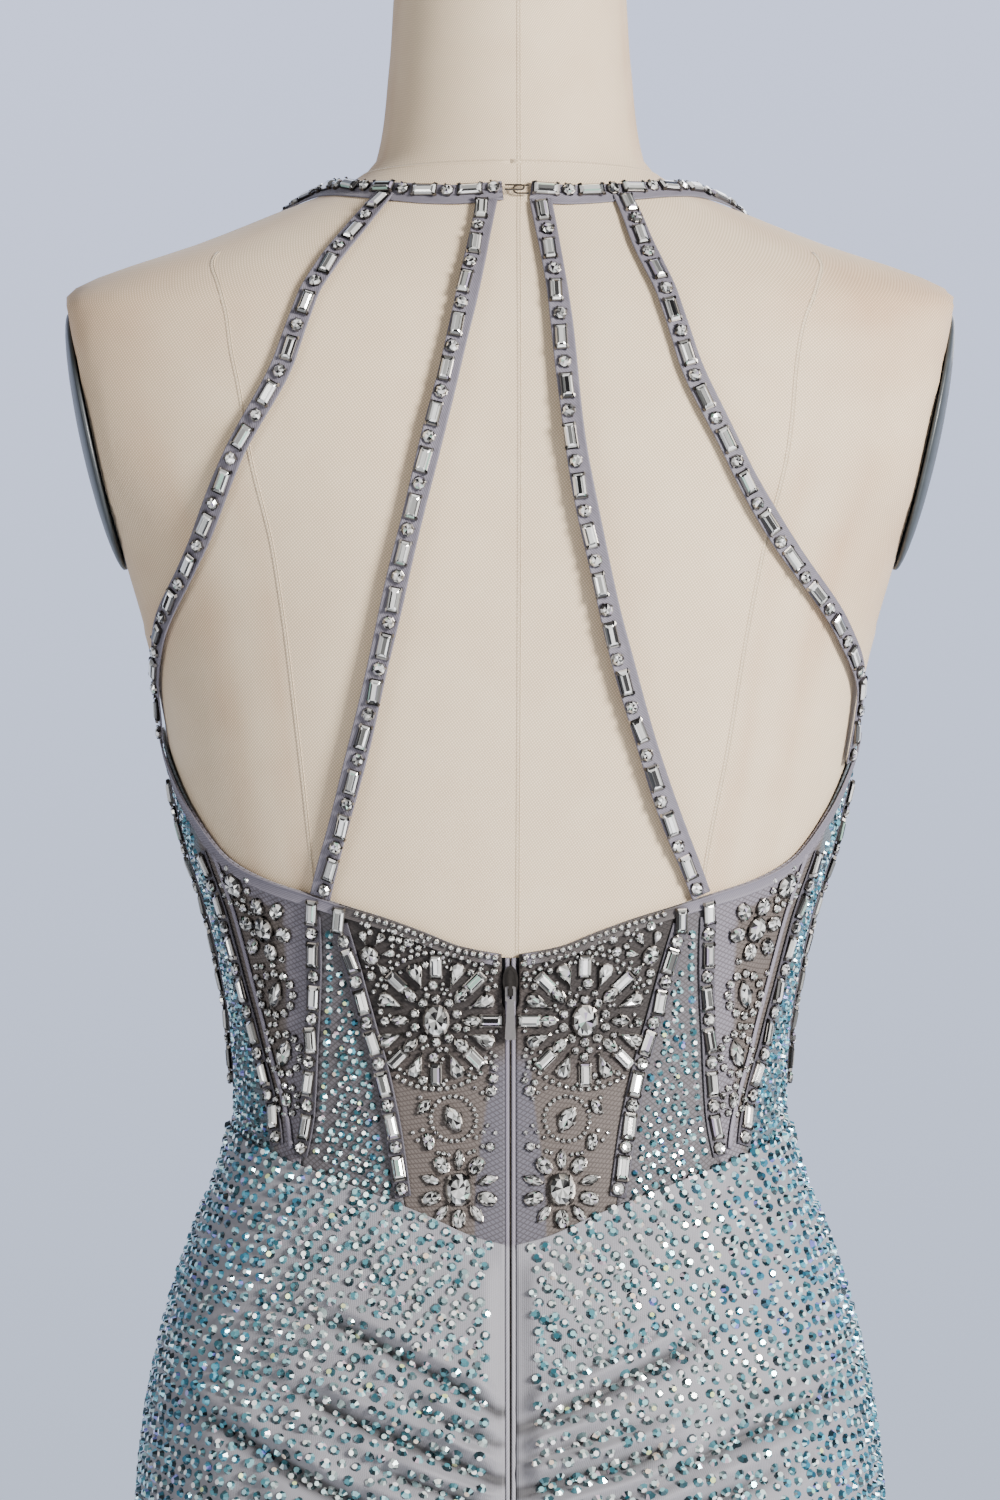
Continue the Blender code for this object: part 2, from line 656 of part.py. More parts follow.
def build_zip_tapes(materials, collection):
    """Two tapes that meet at the centre back, from the upper edge to the zip's foot."""
    heights = np.linspace(1.107, ZIP_FOOT, 14)
    for word, side in (("left", -1), ("right", 1)):
        near = side * turn_at(SEAM_GAP / 2, heights)
        far = side * turn_at(SEAM_GAP / 2 + TAPE_WIDTH, heights)
        turn = np.stack([near, far], 1)
        height = np.stack([heights, heights], 1)
        inner = body_point(turn, height, PANEL_INSIDE)
        outer = body_point(turn, height, PANEL_INSIDE + TAPE_THICK)
        wall("zip_tape_" + word, inner, outer, materials["ribbon"], collection)


def slider_face():
    """Y of the slider's back, just off the tapes where they stand out furthest."""
    top = SLIDER_HEIGHT + SLIDER_LENGTH / 2
    return float(body_point(0.0, top, PANEL_INSIDE + TAPE_THICK + SEAM_GAP)[1])


def tab_pivot():
    """Middle of the pull tab's bar, between the slider's body and its bridge."""
    return 0.0, slider_face() - SLIDER_THICK - TAB_PLAY - TAB_THICK / 2, SLIDER_HEIGHT - TAB_DROP


def add_box(name, size, location):
    bpy.ops.mesh.primitive_cube_add(size=1, location=location)
    box = bpy.context.object
    box.name = name
    box.scale = size
    bpy.ops.object.transform_apply(location=False, rotation=False, scale=True)
    return box


def add_oval(name, size, location):
    """Upright oval plate whose flat faces look to the front and the back."""
    bpy.ops.mesh.primitive_cylinder_add(vertices=24, radius=0.5, depth=1.0, location=location)
    oval = bpy.context.object
    oval.name = name
    oval.rotation_euler = (math.pi / 2, 0.0, 0.0)
    oval.scale = (size[0], size[2], size[1])
    bpy.ops.object.transform_apply(location=False, rotation=True, scale=True)
    return oval


def build_slider(materials, collection, cutters):
    """Oval slider body with a hollowed face, and a bridge over it: two posts and a strap."""
    body_y = slider_face() - SLIDER_THICK / 2
    slider = add_oval("zip_slider", (SLIDER_WIDTH, SLIDER_THICK, SLIDER_LENGTH), (0, body_y, SLIDER_HEIGHT))
    finish_object(slider, materials["metal"], collection)
    outer_y = body_y - SLIDER_THICK / 2
    hollow = add_oval(
        "slider_hollow", (HOLLOW_WIDTH, 2 * HOLLOW_DEPTH, HOLLOW_LENGTH), (0, outer_y, SLIDER_HEIGHT))
    strap_y = tab_pivot()[1] - TAB_THICK / 2 - TAB_PLAY - BRIDGE_THICK / 2
    strap_height = SLIDER_HEIGHT + (BRIDGE_TOP + BRIDGE_FOOT) / 2
    strap_size = (BRIDGE_WIDTH, BRIDGE_THICK, BRIDGE_TOP - BRIDGE_FOOT)
    pieces = [("DIFFERENCE", hollow), ("UNION", add_box("bridge_strap", strap_size, (0, strap_y, strap_height)))]
    for word, offset in (("upper", BRIDGE_TOP - BRIDGE_THICK / 2), ("lower", BRIDGE_FOOT + BRIDGE_THICK / 2)):
        place = (0, (body_y + strap_y) / 2, SLIDER_HEIGHT + offset)
        post = add_box("bridge_post_" + word, (BRIDGE_WIDTH, body_y - strap_y, BRIDGE_THICK), place)
        pieces.append(("UNION", post))
    for operation, piece in pieces:
        piece.hide_render = True
        piece.display_type = "WIRE"
        finish_object(piece, materials["metal"], cutters)
        joined = slider.modifiers.new(piece.name, "BOOLEAN")
        joined.operation = operation
        joined.object = piece


def build_pull_tab(materials, collection, cutters):
    """Loop with a window that the slider's bridge passes through, a neck and a widening tab.

    The bar above the window is the joint's axis, and the tab's origin lies in it.
    """
    steps = 8
    outline = []
    for step in range(steps + 1):
        angle = math.pi * step / steps
        outline.append((TAB_TOP_WIDTH / 2 * math.cos(angle), TAB_THICK / 2 * math.sin(angle)))
    loop_foot = -TAB_THICK - TAB_WINDOW_LENGTH
    corner = TAB_SHOULDER
    left = [
        (TAB_TOP_WIDTH / 2, loop_foot), (TAB_NECK_WIDTH / 2, loop_foot - TAB_SHOULDER),
        (TAB_FOOT_WIDTH / 2, corner - TAB_LENGTH), (TAB_FOOT_WIDTH / 2 - corner, -TAB_LENGTH)]
    outline += [(-x, z) for x, z in left]
    outline += left[::-1]
    data = bpy.data.meshes.new("zip_pull_tab")
    work = bmesh.new()
    face = work.faces.new([work.verts.new((x, -TAB_THICK / 2, z)) for x, z in outline])
    sweep = bmesh.ops.extrude_face_region(work, geom=[face])
    moved = [v for v in sweep["geom"] if isinstance(v, bmesh.types.BMVert)]
    bmesh.ops.translate(work, verts=moved, vec=(0, TAB_THICK, 0))
    bmesh.ops.recalc_face_normals(work, faces=work.faces)
    work.to_mesh(data)
    work.free()
    tab = finish_object(bpy.data.objects.new("zip_pull_tab", data), materials["metal"], collection)
    tab.location = tab_pivot()
    middle = tab_pivot()[2] - TAB_THICK / 2 - TAB_WINDOW_LENGTH / 2
    size = (TAB_WINDOW_WIDTH, 3 * TAB_THICK, TAB_WINDOW_LENGTH)
    window = add_box("tab_window", size, (0, tab_pivot()[1], middle))
    window.hide_render = True
    window.display_type = "WIRE"
    finish_object(window, materials["metal"], cutters)
    cut = tab.modifiers.new("window", "BOOLEAN")
    cut.operation = "DIFFERENCE"
    cut.object = window


# The skirt

def ruche_share(index):
    """How strong one ruche is beside its neighbours, from two slow waves."""
    return 0.78 + 0.22 * math.sin(2.1 * index + 0.6) * math.cos(0.7 * index)


def back_skirt_grid(rows, columns):
    """Turns, heights and ruche outs of one back half, in rows that follow the ruches.

    Each ruche is a crest row between two trough rows. The rows start level at the zip, climb
    towards the side and settle level again at the hem, and the ruches fade towards the side.
    """
    down = np.linspace(0, 1, rows)[:, None]
    along = np.linspace(0, 1, columns)[None, :] ** 1.25
    height = np.full((rows, columns), 0.8)
    for _ in range(12):
        edge = np.where(height > ZIP_FOOT, TAPE_WIDTH + 2 * SEAM_GAP, SEAM_GAP / 2)
        start = turn_at(edge, height)
        turn = start + (SIDE_TURN - HALF_GAP_TURN - start) * along
        climb = RUCHE_LIFT * np.sin(np.pi * down) * np.sin(np.pi / 2 * along)
        top = waist_seam(turn)
        height = top + (HEM_HEIGHT - top) * down + climb
    crest = np.array([ruche_share(r // 2) if r % 2 else 0.0 for r in range(rows)])[:, None]
    ends = np.clip(np.minimum(down, 1 - down) * 14, 0, 1)
    fade = 0.10 + 0.90 * (1 - along) ** 1.3
    return turn, height, RUCHE_DEPTH * crest * ends * fade


def build_skirt_backs(materials, collection):
    rows, columns = 2 * RUCHES + 1, 9
    turn, height, out = back_skirt_grid(rows, columns)
    for word, side in (("left", -1), ("right", 1)):
        inner = body_point(side * turn, height, SKIRT_INSIDE + out)
        outer = body_point(side * turn, height, SKIRT_INSIDE + SKIRT_WALL + out)
        wall("skirt_back_" + word, inner, outer, materials["stoned"], collection)


def build_skirt_front(materials, collection):
    """Plain front with a few soft drapes that dip at the centre front."""
    rows, columns = 2 * FRONT_DRAPES + 1, 17
    down = np.linspace(0, 1, rows)[:, None]
    turn = np.linspace(SIDE_TURN, 360 - SIDE_TURN, columns)[None, :] + 0 * down
    folded = 180 - np.abs(turn - 180)
    top = waist_seam(folded)
    dip = 0.012 * np.sin(np.pi * down) * np.cos(np.radians(folded - 180))
    height = top + (HEM_HEIGHT - top) * down - dip
    crest = np.array([float(r % 2) for r in range(rows)])[:, None]
    out = FRONT_DRAPE_DEPTH * crest * np.sin(np.radians(np.clip(folded - SIDE_TURN, 0, 90)))
    inner = body_point(turn, height, SKIRT_INSIDE + out)
    outer = body_point(turn, height, SKIRT_INSIDE + SKIRT_WALL + out)
    wall("skirt_front", inner, outer, materials["stoned"], collection)


def main():
    clear_scene()
    parts = new_collection("short_prom_dress")
    cutters = new_collection("cutters")
    materials = {
        "canvas": new_material("form canvas", (0.72, 0.66, 0.58), 0.85),
        "plate": new_material("armhole plate", (0.11, 0.14, 0.14), 0.5),
        "stand": new_material("stand metal", (0.30, 0.30, 0.31), 0.4, 1.0),
        "net": new_material("beaded net", (0.18, 0.14, 0.12), 0.7),
        "stoned": new_material("stoned jersey", (0.42, 0.46, 0.50), 0.45),
        "ribbon": new_material("tulle ribbon with stones", (0.40, 0.38, 0.44), 0.5),
        "metal": new_material("zip metal", (0.25, 0.24, 0.23), 0.35, 1.0),
    }
    build_form(materials, parts)
    build_arm_plates(materials, parts)
    build_stand(materials, parts)
    build_back_panels(materials, parts)
    build_bodice_front(materials, parts)
    build_boning(materials, parts)
    build_bindings(materials, parts)
    build_neckband(materials, parts)
    build_straps(materials, parts)
    build_hook_and_eye(materials, parts)
    build_zip_tapes(materials, parts)
    build_slider(materials, parts, cutters)
    build_pull_tab(materials, parts, cutters)
    build_skirt_backs(materials, parts)
    build_skirt_front(materials, parts)


main()
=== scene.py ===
"""Looks of a short prom dress with a strapped open back, on its limbless dress form.

The dress turns its back to -Y, and +X is to the right for someone who looks at that back.
A place on the figure is a turn in degrees round the Z axis, 0 at the centre back and
positive towards +X, a height, and a distance out from the dress form's surface.
"""
import math
from collections import namedtuple

import bpy
import numpy as np
from bpy.props import FloatProperty, FloatVectorProperty, PointerProperty
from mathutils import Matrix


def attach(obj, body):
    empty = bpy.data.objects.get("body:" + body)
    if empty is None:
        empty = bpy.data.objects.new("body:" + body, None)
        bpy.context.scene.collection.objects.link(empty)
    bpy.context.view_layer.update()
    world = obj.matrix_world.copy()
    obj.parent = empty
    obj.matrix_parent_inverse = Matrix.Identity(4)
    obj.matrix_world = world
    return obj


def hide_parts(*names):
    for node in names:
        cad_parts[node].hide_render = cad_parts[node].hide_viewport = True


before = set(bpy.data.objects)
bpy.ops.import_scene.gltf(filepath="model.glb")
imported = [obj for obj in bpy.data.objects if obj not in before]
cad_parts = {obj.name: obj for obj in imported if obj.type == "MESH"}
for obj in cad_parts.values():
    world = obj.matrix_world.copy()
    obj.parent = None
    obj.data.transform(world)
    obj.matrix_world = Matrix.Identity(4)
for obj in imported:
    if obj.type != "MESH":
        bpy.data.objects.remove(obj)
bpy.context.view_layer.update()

bl_info = {
    "name": "Short prom dress",
    "version": (1, 0, 0),
    "blender": (4, 5, 0),
    "location": "3D View > Sidebar > Prom dress",
    "description": "Cloth, stones, dress form and studio of the short prom dress",
    "category": "Object",
}

DRESS_BODY = "dress_and_form"
SIDES = (("left", -1), ("right", 1))
MM = 0.001

# Sizes that the solids of the frame were made from
ARMHOLE_TOP = 1.385
ARMHOLE_FOOT = 1.25
ARMHOLE_HALF_WIDTH = 0.1931
ARMHOLE_LEAN = 0.216
SEAM_GAP = 0.0003
PANEL_INSIDE = 0.0011
PANEL_WALL = 0.0011
FRONT_EASE = 0.0016
SKIRT_INSIDE = 0.0019
SKIRT_WALL = 0.0014
LAP = 0.0012
LAP_LIFT = 0.0006
TRIM_LIFT = PANEL_INSIDE + PANEL_WALL + 2 * SEAM_GAP
SIDE_TURN = 92.0
HALF_GAP_TURN = math.degrees(SEAM_GAP / 2 / 0.1)
HEM_HEIGHT = 0.620
ZIP_FOOT = 0.840
TAPE_TOP = 1.107
FORM_TOP = 1.556
TAPE_WIDTH = 0.0045
ZIP_EDGE = 0.00240
BINDING_WIDTH = 0.0052
BAGUETTE_LENGTH = 0.0112
BAGUETTE_WIDTH = 0.0054
ROUND_SIZE = 0.0059
STONE_PITCH = 0.0200
STRIP_PITCH = 0.0172
FORM_BOTTOM = 0.795
PLATE_MIDDLE = 1.332
PLATE_HEIGHT = 0.116
PLATE_DEPTH = 0.092
PLATE_SETBACK = 0.006
PLATE_RIM = 0.0014
PLATE_DOME = 0.0062

Section = namedtuple("Section", "height half_width back front square")
Place = namedtuple("Place", "turn height lift")
Swell = namedtuple("Swell", "turn height spread rise out")
Crease = namedtuple("Crease", "turn height end_turn end_height bow depth width")

# Level cuts through the figure, from the skirt's hem to the neck's top
SECTIONS = (
    Section(0.600, 0.1450, 0.0960, 0.0920, 2.20),
    Section(0.660, 0.1515, 0.1030, 0.0960, 2.20),
    Section(0.730, 0.1580, 0.1120, 0.1000, 2.25),
    Section(0.800, 0.1625, 0.1190, 0.1035, 2.30),
    Section(0.855, 0.1615, 0.1180, 0.1055, 2.30),
    Section(0.890, 0.1590, 0.1140, 0.1055, 2.30),
    Section(0.938, 0.1505, 0.1020, 0.1030, 2.25),
    Section(0.985, 0.1360, 0.0880, 0.0970, 2.20),
    Section(1.007, 0.1270, 0.0830, 0.0930, 2.20),
    Section(1.040, 0.1195, 0.0780, 0.0890, 2.20),
    Section(1.074, 0.1215, 0.0765, 0.0900, 2.20),
    Section(1.098, 0.1255, 0.0780, 0.0920, 2.20),
    Section(1.123, 0.1310, 0.0810, 0.0950, 2.20),
    Section(1.151, 0.1400, 0.0850, 0.1000, 2.20),
    Section(1.190, 0.1495, 0.0910, 0.1070, 2.20),
    Section(1.240, 0.1600, 0.0960, 0.1100, 2.20),
    Section(1.280, 0.1740, 0.0980, 0.1040, 2.20),
    Section(1.320, 0.2000, 0.0980, 0.0930, 2.25),
    Section(1.360, 0.2090, 0.0940, 0.0800, 2.30),
    Section(1.387, 0.2105, 0.0880, 0.0700, 2.30),
    Section(1.401, 0.1895, 0.0820, 0.0630, 2.20),
    Section(1.4195, 0.1372, 0.0715, 0.0545, 2.10),
    Section(1.4345, 0.1000, 0.0625, 0.0500, 2.00),
    Section(1.444, 0.0755, 0.0583, 0.0485, 2.00),
    Section(1.456, 0.0597, 0.0550, 0.0490, 2.00),
    Section(1.498, 0.0538, 0.0520, 0.0510, 2.00),
    Section(1.548, 0.0495, 0.0490, 0.0500, 2.00),
    Section(1.556, 0.0445, 0.0440, 0.0450, 2.00),
)
HEIGHTS = np.array([s.height for s in SECTIONS])

# The bust, the shoulder blades and the seat stand out from the level cuts, on both sides
SWELLS = (
    Swell(143.0, 1.236, 23.0, 0.048, 0.019),
    Swell(38.0, 1.325, 22.0, 0.050, 0.004),
    Swell(38.0, 0.862, 24.0, 0.055, 0.006),
)

# Upper edge of the low back and the waist seam, heights at turns from the centre back
BACK_EDGE_TURNS = (0.0, 15.0, 25.0, 35.0, 44.0, 52.0, 61.0, 69.0, 77.0, 85.0, SIDE_TURN)
BACK_EDGE_HEIGHTS = (1.108, 1.112, 1.118, 1.124, 1.129, 1.134, 1.140, 1.149, 1.170, 1.195, 1.206)
WAIST_TURNS = (0.0, 10.0, 22.0, 30.0, 45.0, 56.0, 75.0, SIDE_TURN, 130.0, 180.0)
WAIST_HEIGHTS = (0.983, 0.987, 0.995, 1.000, 1.009, 1.015, 1.024, 1.028, 1.022, 1.012)

# Turns of the back's upright seams at a few heights, from the top down
SEAM_HEIGHTS = (1.137, 1.105, 1.078, 1.052, 1.025, 0.995)
WEDGE_OUTER_TURNS = (51.0, 53.0, 55.0, 55.5, 56.0, 56.0)
WEDGE_INNER_TURNS = (46.0, 44.0, 41.0, 37.0, 33.0, 28.0)

# Edge of the halter front, and the neckband's middle line
HALTER_HEIGHTS = (1.000, 1.195, 1.206, 1.225, 1.250, 1.290, 1.330, 1.370, 1.410)
HALTER_TURNS = (88.0, 88.0, 84.0, 72.0, 61.0, 50.0, 44.0, 41.0, 43.0)
NECKBAND_TURNS = (0.0, 20.0, 45.0, 65.0, 80.0, 88.0, 100.0, 120.0, 150.0, 180.0)
NECKBAND_HEIGHTS = (1.4350, 1.4375, 1.4405, 1.4430, 1.4400, 1.4365, 1.4300, 1.4190, 1.4065, 1.4010)
NECKBAND_LEFT_END = -3.0
NECKBAND_RIGHT_END = 8.0
NECKBAND_LIFT = 0.0012

# Routes of the four back straps, from the neckband down to the low back's edge
STRAPS = {
    "strap_outer_left": (
        Place(-46.0, 1.4355, 0.0013), Place(-45.4, 1.4120, 0.0016), Place(-46.8, 1.3650, 0.0018),
        Place(-54.0, 1.3190, 0.0018), Place(-65.0, 1.2740, 0.0016), Place(-76.6, 1.2430, 0.0008),
        Place(-84.4, 1.2170, 0.0006), Place(-86.3, 1.1999, 0.0022)),
    "strap_inner_left": (
        Place(-8.8, 1.4314, 0.0013), Place(-11.0, 1.3970, 0.0018), Place(-15.0, 1.3570, 0.0018),
        Place(-25.0, 1.2770, 0.0022), Place(-37.0, 1.1940, 0.0030), Place(-49.4, 1.1330, 0.0024)),
    "strap_inner_right": (
        Place(11.4, 1.4309, 0.0013), Place(13.0, 1.3860, 0.0018), Place(15.0, 1.3340, 0.0018),
        Place(23.0, 1.2580, 0.0022), Place(37.0, 1.1800, 0.0030), Place(49.5, 1.1337, 0.0024)),
    "strap_outer_right": (
        Place(41.1, 1.4343, 0.0013), Place(37.5, 1.4050, 0.0016), Place(39.0, 1.3640, 0.0018),
        Place(46.0, 1.3180, 0.0018), Place(57.0, 1.2800, 0.0020), Place(70.0, 1.2470, 0.0022),
        Place(79.5, 1.2190, 0.0024), Place(81.2, 1.1905, 0.0024)),
}

# Which way the stones sit off their strap's middle, at even places from its top to its foot
STRAP_SHIFTS = {
    "strap_outer_left": (0.2, 0.3, 0.0, -0.3),
    "strap_inner_left": (-1.0, -0.8, 0.6, 1.0),
    "strap_inner_right": (0.2, -0.8, -1.0, -0.9),
    "strap_outer_right": (0.4, -0.2, -0.8, -0.6),
}

# Stoned boning strips of each side: turns and heights from top to foot
BONING = {
    "boning_wedge_inner": (
        (45.8, 44.2, 41.4, 37.2, 33.4, 29.6), (1.1210, 1.1040, 1.0800, 1.0550, 1.0290, 1.0045)),
    "boning_wedge_outer": ((51.8, 53.2, 55.2, 55.8, 56.2), (1.1245, 1.1000, 1.0700, 1.0450, 1.0200)),
    "boning_side": ((76.0, 73.6, 71.0, 67.0, 62.8), (1.1520, 1.1000, 1.0720, 1.0480, 1.0240)),
    "boning_underarm": ((86.2, 86.4, 86.6, 87.0), (1.1830, 1.1200, 1.0850, 1.0480)),
}

# The form's own seams: turns and heights from the shoulder down, for each half and the middle
PRINCESS_HEIGHTS = (1.411, 1.388, 1.365, 1.335, 1.270, 1.200, 1.150, 1.080)
PRINCESS_TURNS = {
    "left": (68.0, 58.4, 55.4, 52.4, 50.0, 49.6, 50.6, 54.0),
    "right": (69.8, 60.2, 56.6, 54.6, 52.6, 51.0, 50.0, 53.0),
}
CENTRE_SEAM = (
    (4.1, 3.8, 2.8, 2.4, 2.2, 2.1, 2.1), (1.546, 1.450, 1.418, 1.390, 1.330, 1.200, 1.090))
NECK_SEAM_HEIGHT = 1.4495

# Creases of the skirt's back, from the centre back seam up and outwards: the first ones
# of each half follow what shows, and the rest carry on below in the same way
CREASES_RIGHT = (
    Crease(2.0, 0.9100, 48.0, 0.9520, -0.10, 0.0044, 0.0015),
    Crease(9.0, 0.9265, 38.0, 0.9510, 0.05, 0.0020, 0.0011),
    Crease(2.0, 0.8965, 30.0, 0.9135, 0.00, 0.0028, 0.0012),
    Crease(2.0, 0.8845, 42.0, 0.9095, -0.15, 0.0056, 0.0015),
    Crease(21.0, 0.8820, 76.0, 0.9230, 0.20, 0.0040, 0.0015),
    Crease(2.0, 0.8700, 34.0, 0.8900, -0.10, 0.0032, 0.0013),
    Crease(2.0, 0.8560, 58.0, 0.8960, -0.10, 0.0040, 0.0018),
    Crease(4.0, 0.8400, 40.0, 0.8620, 0.00, 0.0030, 0.0022),
    Crease(2.0, 0.8220, 64.0, 0.8660, -0.05, 0.0038, 0.0028),
    Crease(3.0, 0.8030, 36.0, 0.8230, 0.10, 0.0026, 0.0024),
    Crease(2.0, 0.7830, 60.0, 0.8190, -0.10, 0.0034, 0.0028),
    Crease(3.0, 0.7600, 44.0, 0.7820, 0.00, 0.0026, 0.0026),
    Crease(2.0, 0.7340, 56.0, 0.7620, -0.10, 0.0028, 0.0030),
    Crease(3.0, 0.7060, 40.0, 0.7220, 0.00, 0.0018, 0.0030),
    Crease(2.0, 0.6760, 46.0, 0.6900, 0.00, 0.0014, 0.0032),
)
CREASES_LEFT = (
    Crease(3.0, 0.9165, 51.0, 0.9590, 0.12, 0.0036, 0.0013),
    Crease(3.0, 0.9040, 24.0, 0.9215, -0.15, 0.0028, 0.0012),
    Crease(3.0, 0.8895, 49.0, 0.9270, -0.05, 0.0046, 0.0014),
    Crease(8.0, 0.8985, 30.0, 0.9170, 0.00, 0.0018, 0.0011),
    Crease(29.0, 0.8800, 66.0, 0.9140, 0.15, 0.0032, 0.0014),
    Crease(2.0, 0.8760, 30.0, 0.8960, 0.00, 0.0032, 0.0012),
    Crease(2.0, 0.8610, 52.0, 0.8980, -0.10, 0.0042, 0.0016),
    Crease(4.0, 0.8460, 36.0, 0.8650, 0.10, 0.0028, 0.0022),
    Crease(2.0, 0.8280, 60.0, 0.8700, -0.05, 0.0038, 0.0028),
    Crease(3.0, 0.8090, 42.0, 0.8330, 0.00, 0.0028, 0.0024),
    Crease(2.0, 0.7880, 56.0, 0.8250, -0.10, 0.0034, 0.0028),
    Crease(3.0, 0.7650, 38.0, 0.7840, 0.05, 0.0026, 0.0026),
    Crease(2.0, 0.7400, 60.0, 0.7690, -0.10, 0.0028, 0.0030),
    Crease(3.0, 0.7110, 36.0, 0.7250, 0.00, 0.0018, 0.0030),
    Crease(2.0, 0.6810, 48.0, 0.6960, 0.00, 0.0014, 0.0032),
)

# Middles of the stone motifs on a side back panel: turn and height on the right half
SIDE_MOTIFS = ((63.6, 1.1185), (63.4, 1.0900), (62.4, 1.0640), (61.6, 1.0440))

# Shades that the facets of a stone are picked from, and how often each comes up.
# On the crystals they are painted reflections, from painted highlights to painted shade
CRYSTAL_PAINTED_REFLECTIONS = ("#FDFDFB", "#DEDFDC", "#A9AAA7", "#6E6F6D", "#3A3A3A", "#151516", "#A9CDBD", "#BDB0CC")
CRYSTAL_SHARES = (0.25, 0.18, 0.17, 0.15, 0.12, 0.09, 0.02, 0.02)
SILVER_SHADES = ("#9A958F", "#6C6763", "#403D3A", "#1F1D1C")
SILVER_SHARES = (0.22, 0.33, 0.27, 0.18)
# Rhinestone facets: the coating's own pale, teal and blue hues, with painted shade on the dark rim facets
# and painted highlights, mostly white, on the tables
RIM_HUES_AND_PAINTED_SHADE = {
    "pale": ("#2B3A3D", "#56696B", "#8A9A9A", "#B9C4C2", "#E9EDE8", "#D8C6B8"),
    "teal": ("#14262C", "#2A4B53", "#4B7D87", "#86B4BA", "#D6EAE9", "#C9B3C0"),
    "blue": ("#0F2630", "#20495A", "#33748A", "#5FA9BE", "#BFE4EC", "#7C7FD0"),
}
RIM_SHARES = (0.22, 0.29, 0.25, 0.13, 0.07, 0.04)
TABLE_HUES_AND_PAINTED_GLINTS = {
    "pale": ("#FFFFFF", "#E9EFEA", "#BFD6D4", "#87A5A8", "#56777D", "#F6DFC8", "#E3E9B0"),
    "teal": ("#FFFFFF", "#D5EEEC", "#93CBD0", "#4F8D98", "#2C626E", "#F0DCC8", "#DDEBA6"),
    "blue": ("#F4FFFF", "#BDEBF2", "#62BBD0", "#357A95", "#1F5167", "#B6B0E6", "#A6E0C4"),
}
TABLE_SHARES = (0.27, 0.22, 0.21, 0.15, 0.08, 0.04, 0.03)


# Curves and surfaces of the figure

def smooth_value(at, places, values):
    """Curve through the values that never swings past them, from harmonic mean slopes."""
    places = np.asarray(places, float)
    values = np.asarray(values, float)
    steps = np.diff(places)
    rises = np.diff(values) / steps
    slopes = np.concatenate([rises[:1], np.zeros(len(places) - 2), rises[-1:]])
    before, after = rises[:-1], rises[1:]
    same_way = before * after > 0
    ahead = 2 * steps[1:] + steps[:-1]
    behind = steps[1:] + 2 * steps[:-1]
    safe_before = np.where(same_way, before, 1.0)
    safe_after = np.where(same_way, after, 1.0)
    mean = (ahead + behind) / (ahead / safe_before + behind / safe_after)
    slopes[1:-1] = np.where(same_way, mean, 0.0)
    at = np.clip(at, places[0], places[-1])
    index = np.clip(np.searchsorted(places, at) - 1, 0, len(places) - 2)
    step = steps[index]
    t = (at - places[index]) / step
    start = (1 + 2 * t) * (1 - t) ** 2 * values[index] + t * (1 - t) ** 2 * step * slopes[index]
    end = t * t * (3 - 2 * t) * values[index + 1] + t * t * (t - 1) * step * slopes[index + 1]
    return start + end


def section_value(height, column):
    """One column of the level cuts at any height."""
    return smooth_value(height, HEIGHTS, [getattr(s, column) for s in SECTIONS])


def body_radius(turn, height):
    """Radius of the figure: a superellipse with the swells added, cut flat at the armholes.

    The cut's edge is rounded: the smaller of the two radii, by a soft minimum.
    """
    side = np.abs(np.sin(np.radians(turn)))
    ahead = -np.cos(np.radians(turn))
    depth = np.where(ahead < 0, section_value(height, "back"), section_value(height, "front"))
    square = section_value(height, "square")
    width = section_value(height, "half_width")
    radius = ((side / width) ** square + (np.abs(ahead) / depth) ** square) ** (-1 / square)
    folded = np.abs((np.asarray(turn) + 180) % 360 - 180)
    for swell in SWELLS:
        bend = ((folded - swell.turn) / swell.spread) ** 2 + ((height - swell.height) / swell.rise) ** 2
        radius = radius + swell.out * np.exp(-bend)
    plane = ARMHOLE_HALF_WIDTH - ARMHOLE_LEAN * (ARMHOLE_TOP - height)
    cut = plane / np.maximum(side, 1e-3)
    soft = 0.0018
    softened = -soft * np.logaddexp(-radius / soft, -cut / soft)
    return np.where(np.asarray(height) > ARMHOLE_FOOT, softened, radius)


def skin_point(turn, height):
    """Point on the figure's own surface."""
    radius = body_radius(turn, height)
    angle = np.radians(turn)
    return np.stack([radius * np.sin(angle), -radius * np.cos(angle), height + 0 * radius], -1)


def unit(vectors):
    """The same directions, each one long."""
    return vectors / np.maximum(np.linalg.norm(vectors, axis=-1, keepdims=True), 1e-12)


def skin_normal(turn, height):
    """Outward direction of the figure's surface, from two small steps along it."""
    across = skin_point(turn + 0.05, height) - skin_point(turn - 0.05, height)
    up = skin_point(turn, height + 0.0002) - skin_point(turn, height - 0.0002)
    return unit(np.cross(across, up))


def body_point(turn, height, out):
    """Point at a distance out from the figure's surface."""
    turn, height, out = np.broadcast_arrays(*(np.asarray(v, float) for v in (turn, height, out)))
    return skin_point(turn, height) + skin_normal(turn, height) * out[..., None]


def turn_at(across, height):
    """Turn of a point that lies a short way to the side of the centre back."""
    return np.degrees(np.arcsin(across / body_radius(0.0, height)))


def back_edge(turn):
    return smooth_value(np.abs(turn), BACK_EDGE_TURNS, BACK_EDGE_HEIGHTS)


def waist_seam(turn):
    return smooth_value(np.abs(turn), WAIST_TURNS, WAIST_HEIGHTS)


def upright_seam(height, turns):
    """Turn of an upright seam at a height; the tables run downwards."""
    return smooth_value(height, SEAM_HEIGHTS[::-1], turns[::-1])


def ease(value, start, end):
    """Smooth step from 0 at start to 1 at end, which may lie either way round."""
    t = np.clip((value - start) / (end - start), 0, 1)
    return t * t * (3 - 2 * t)


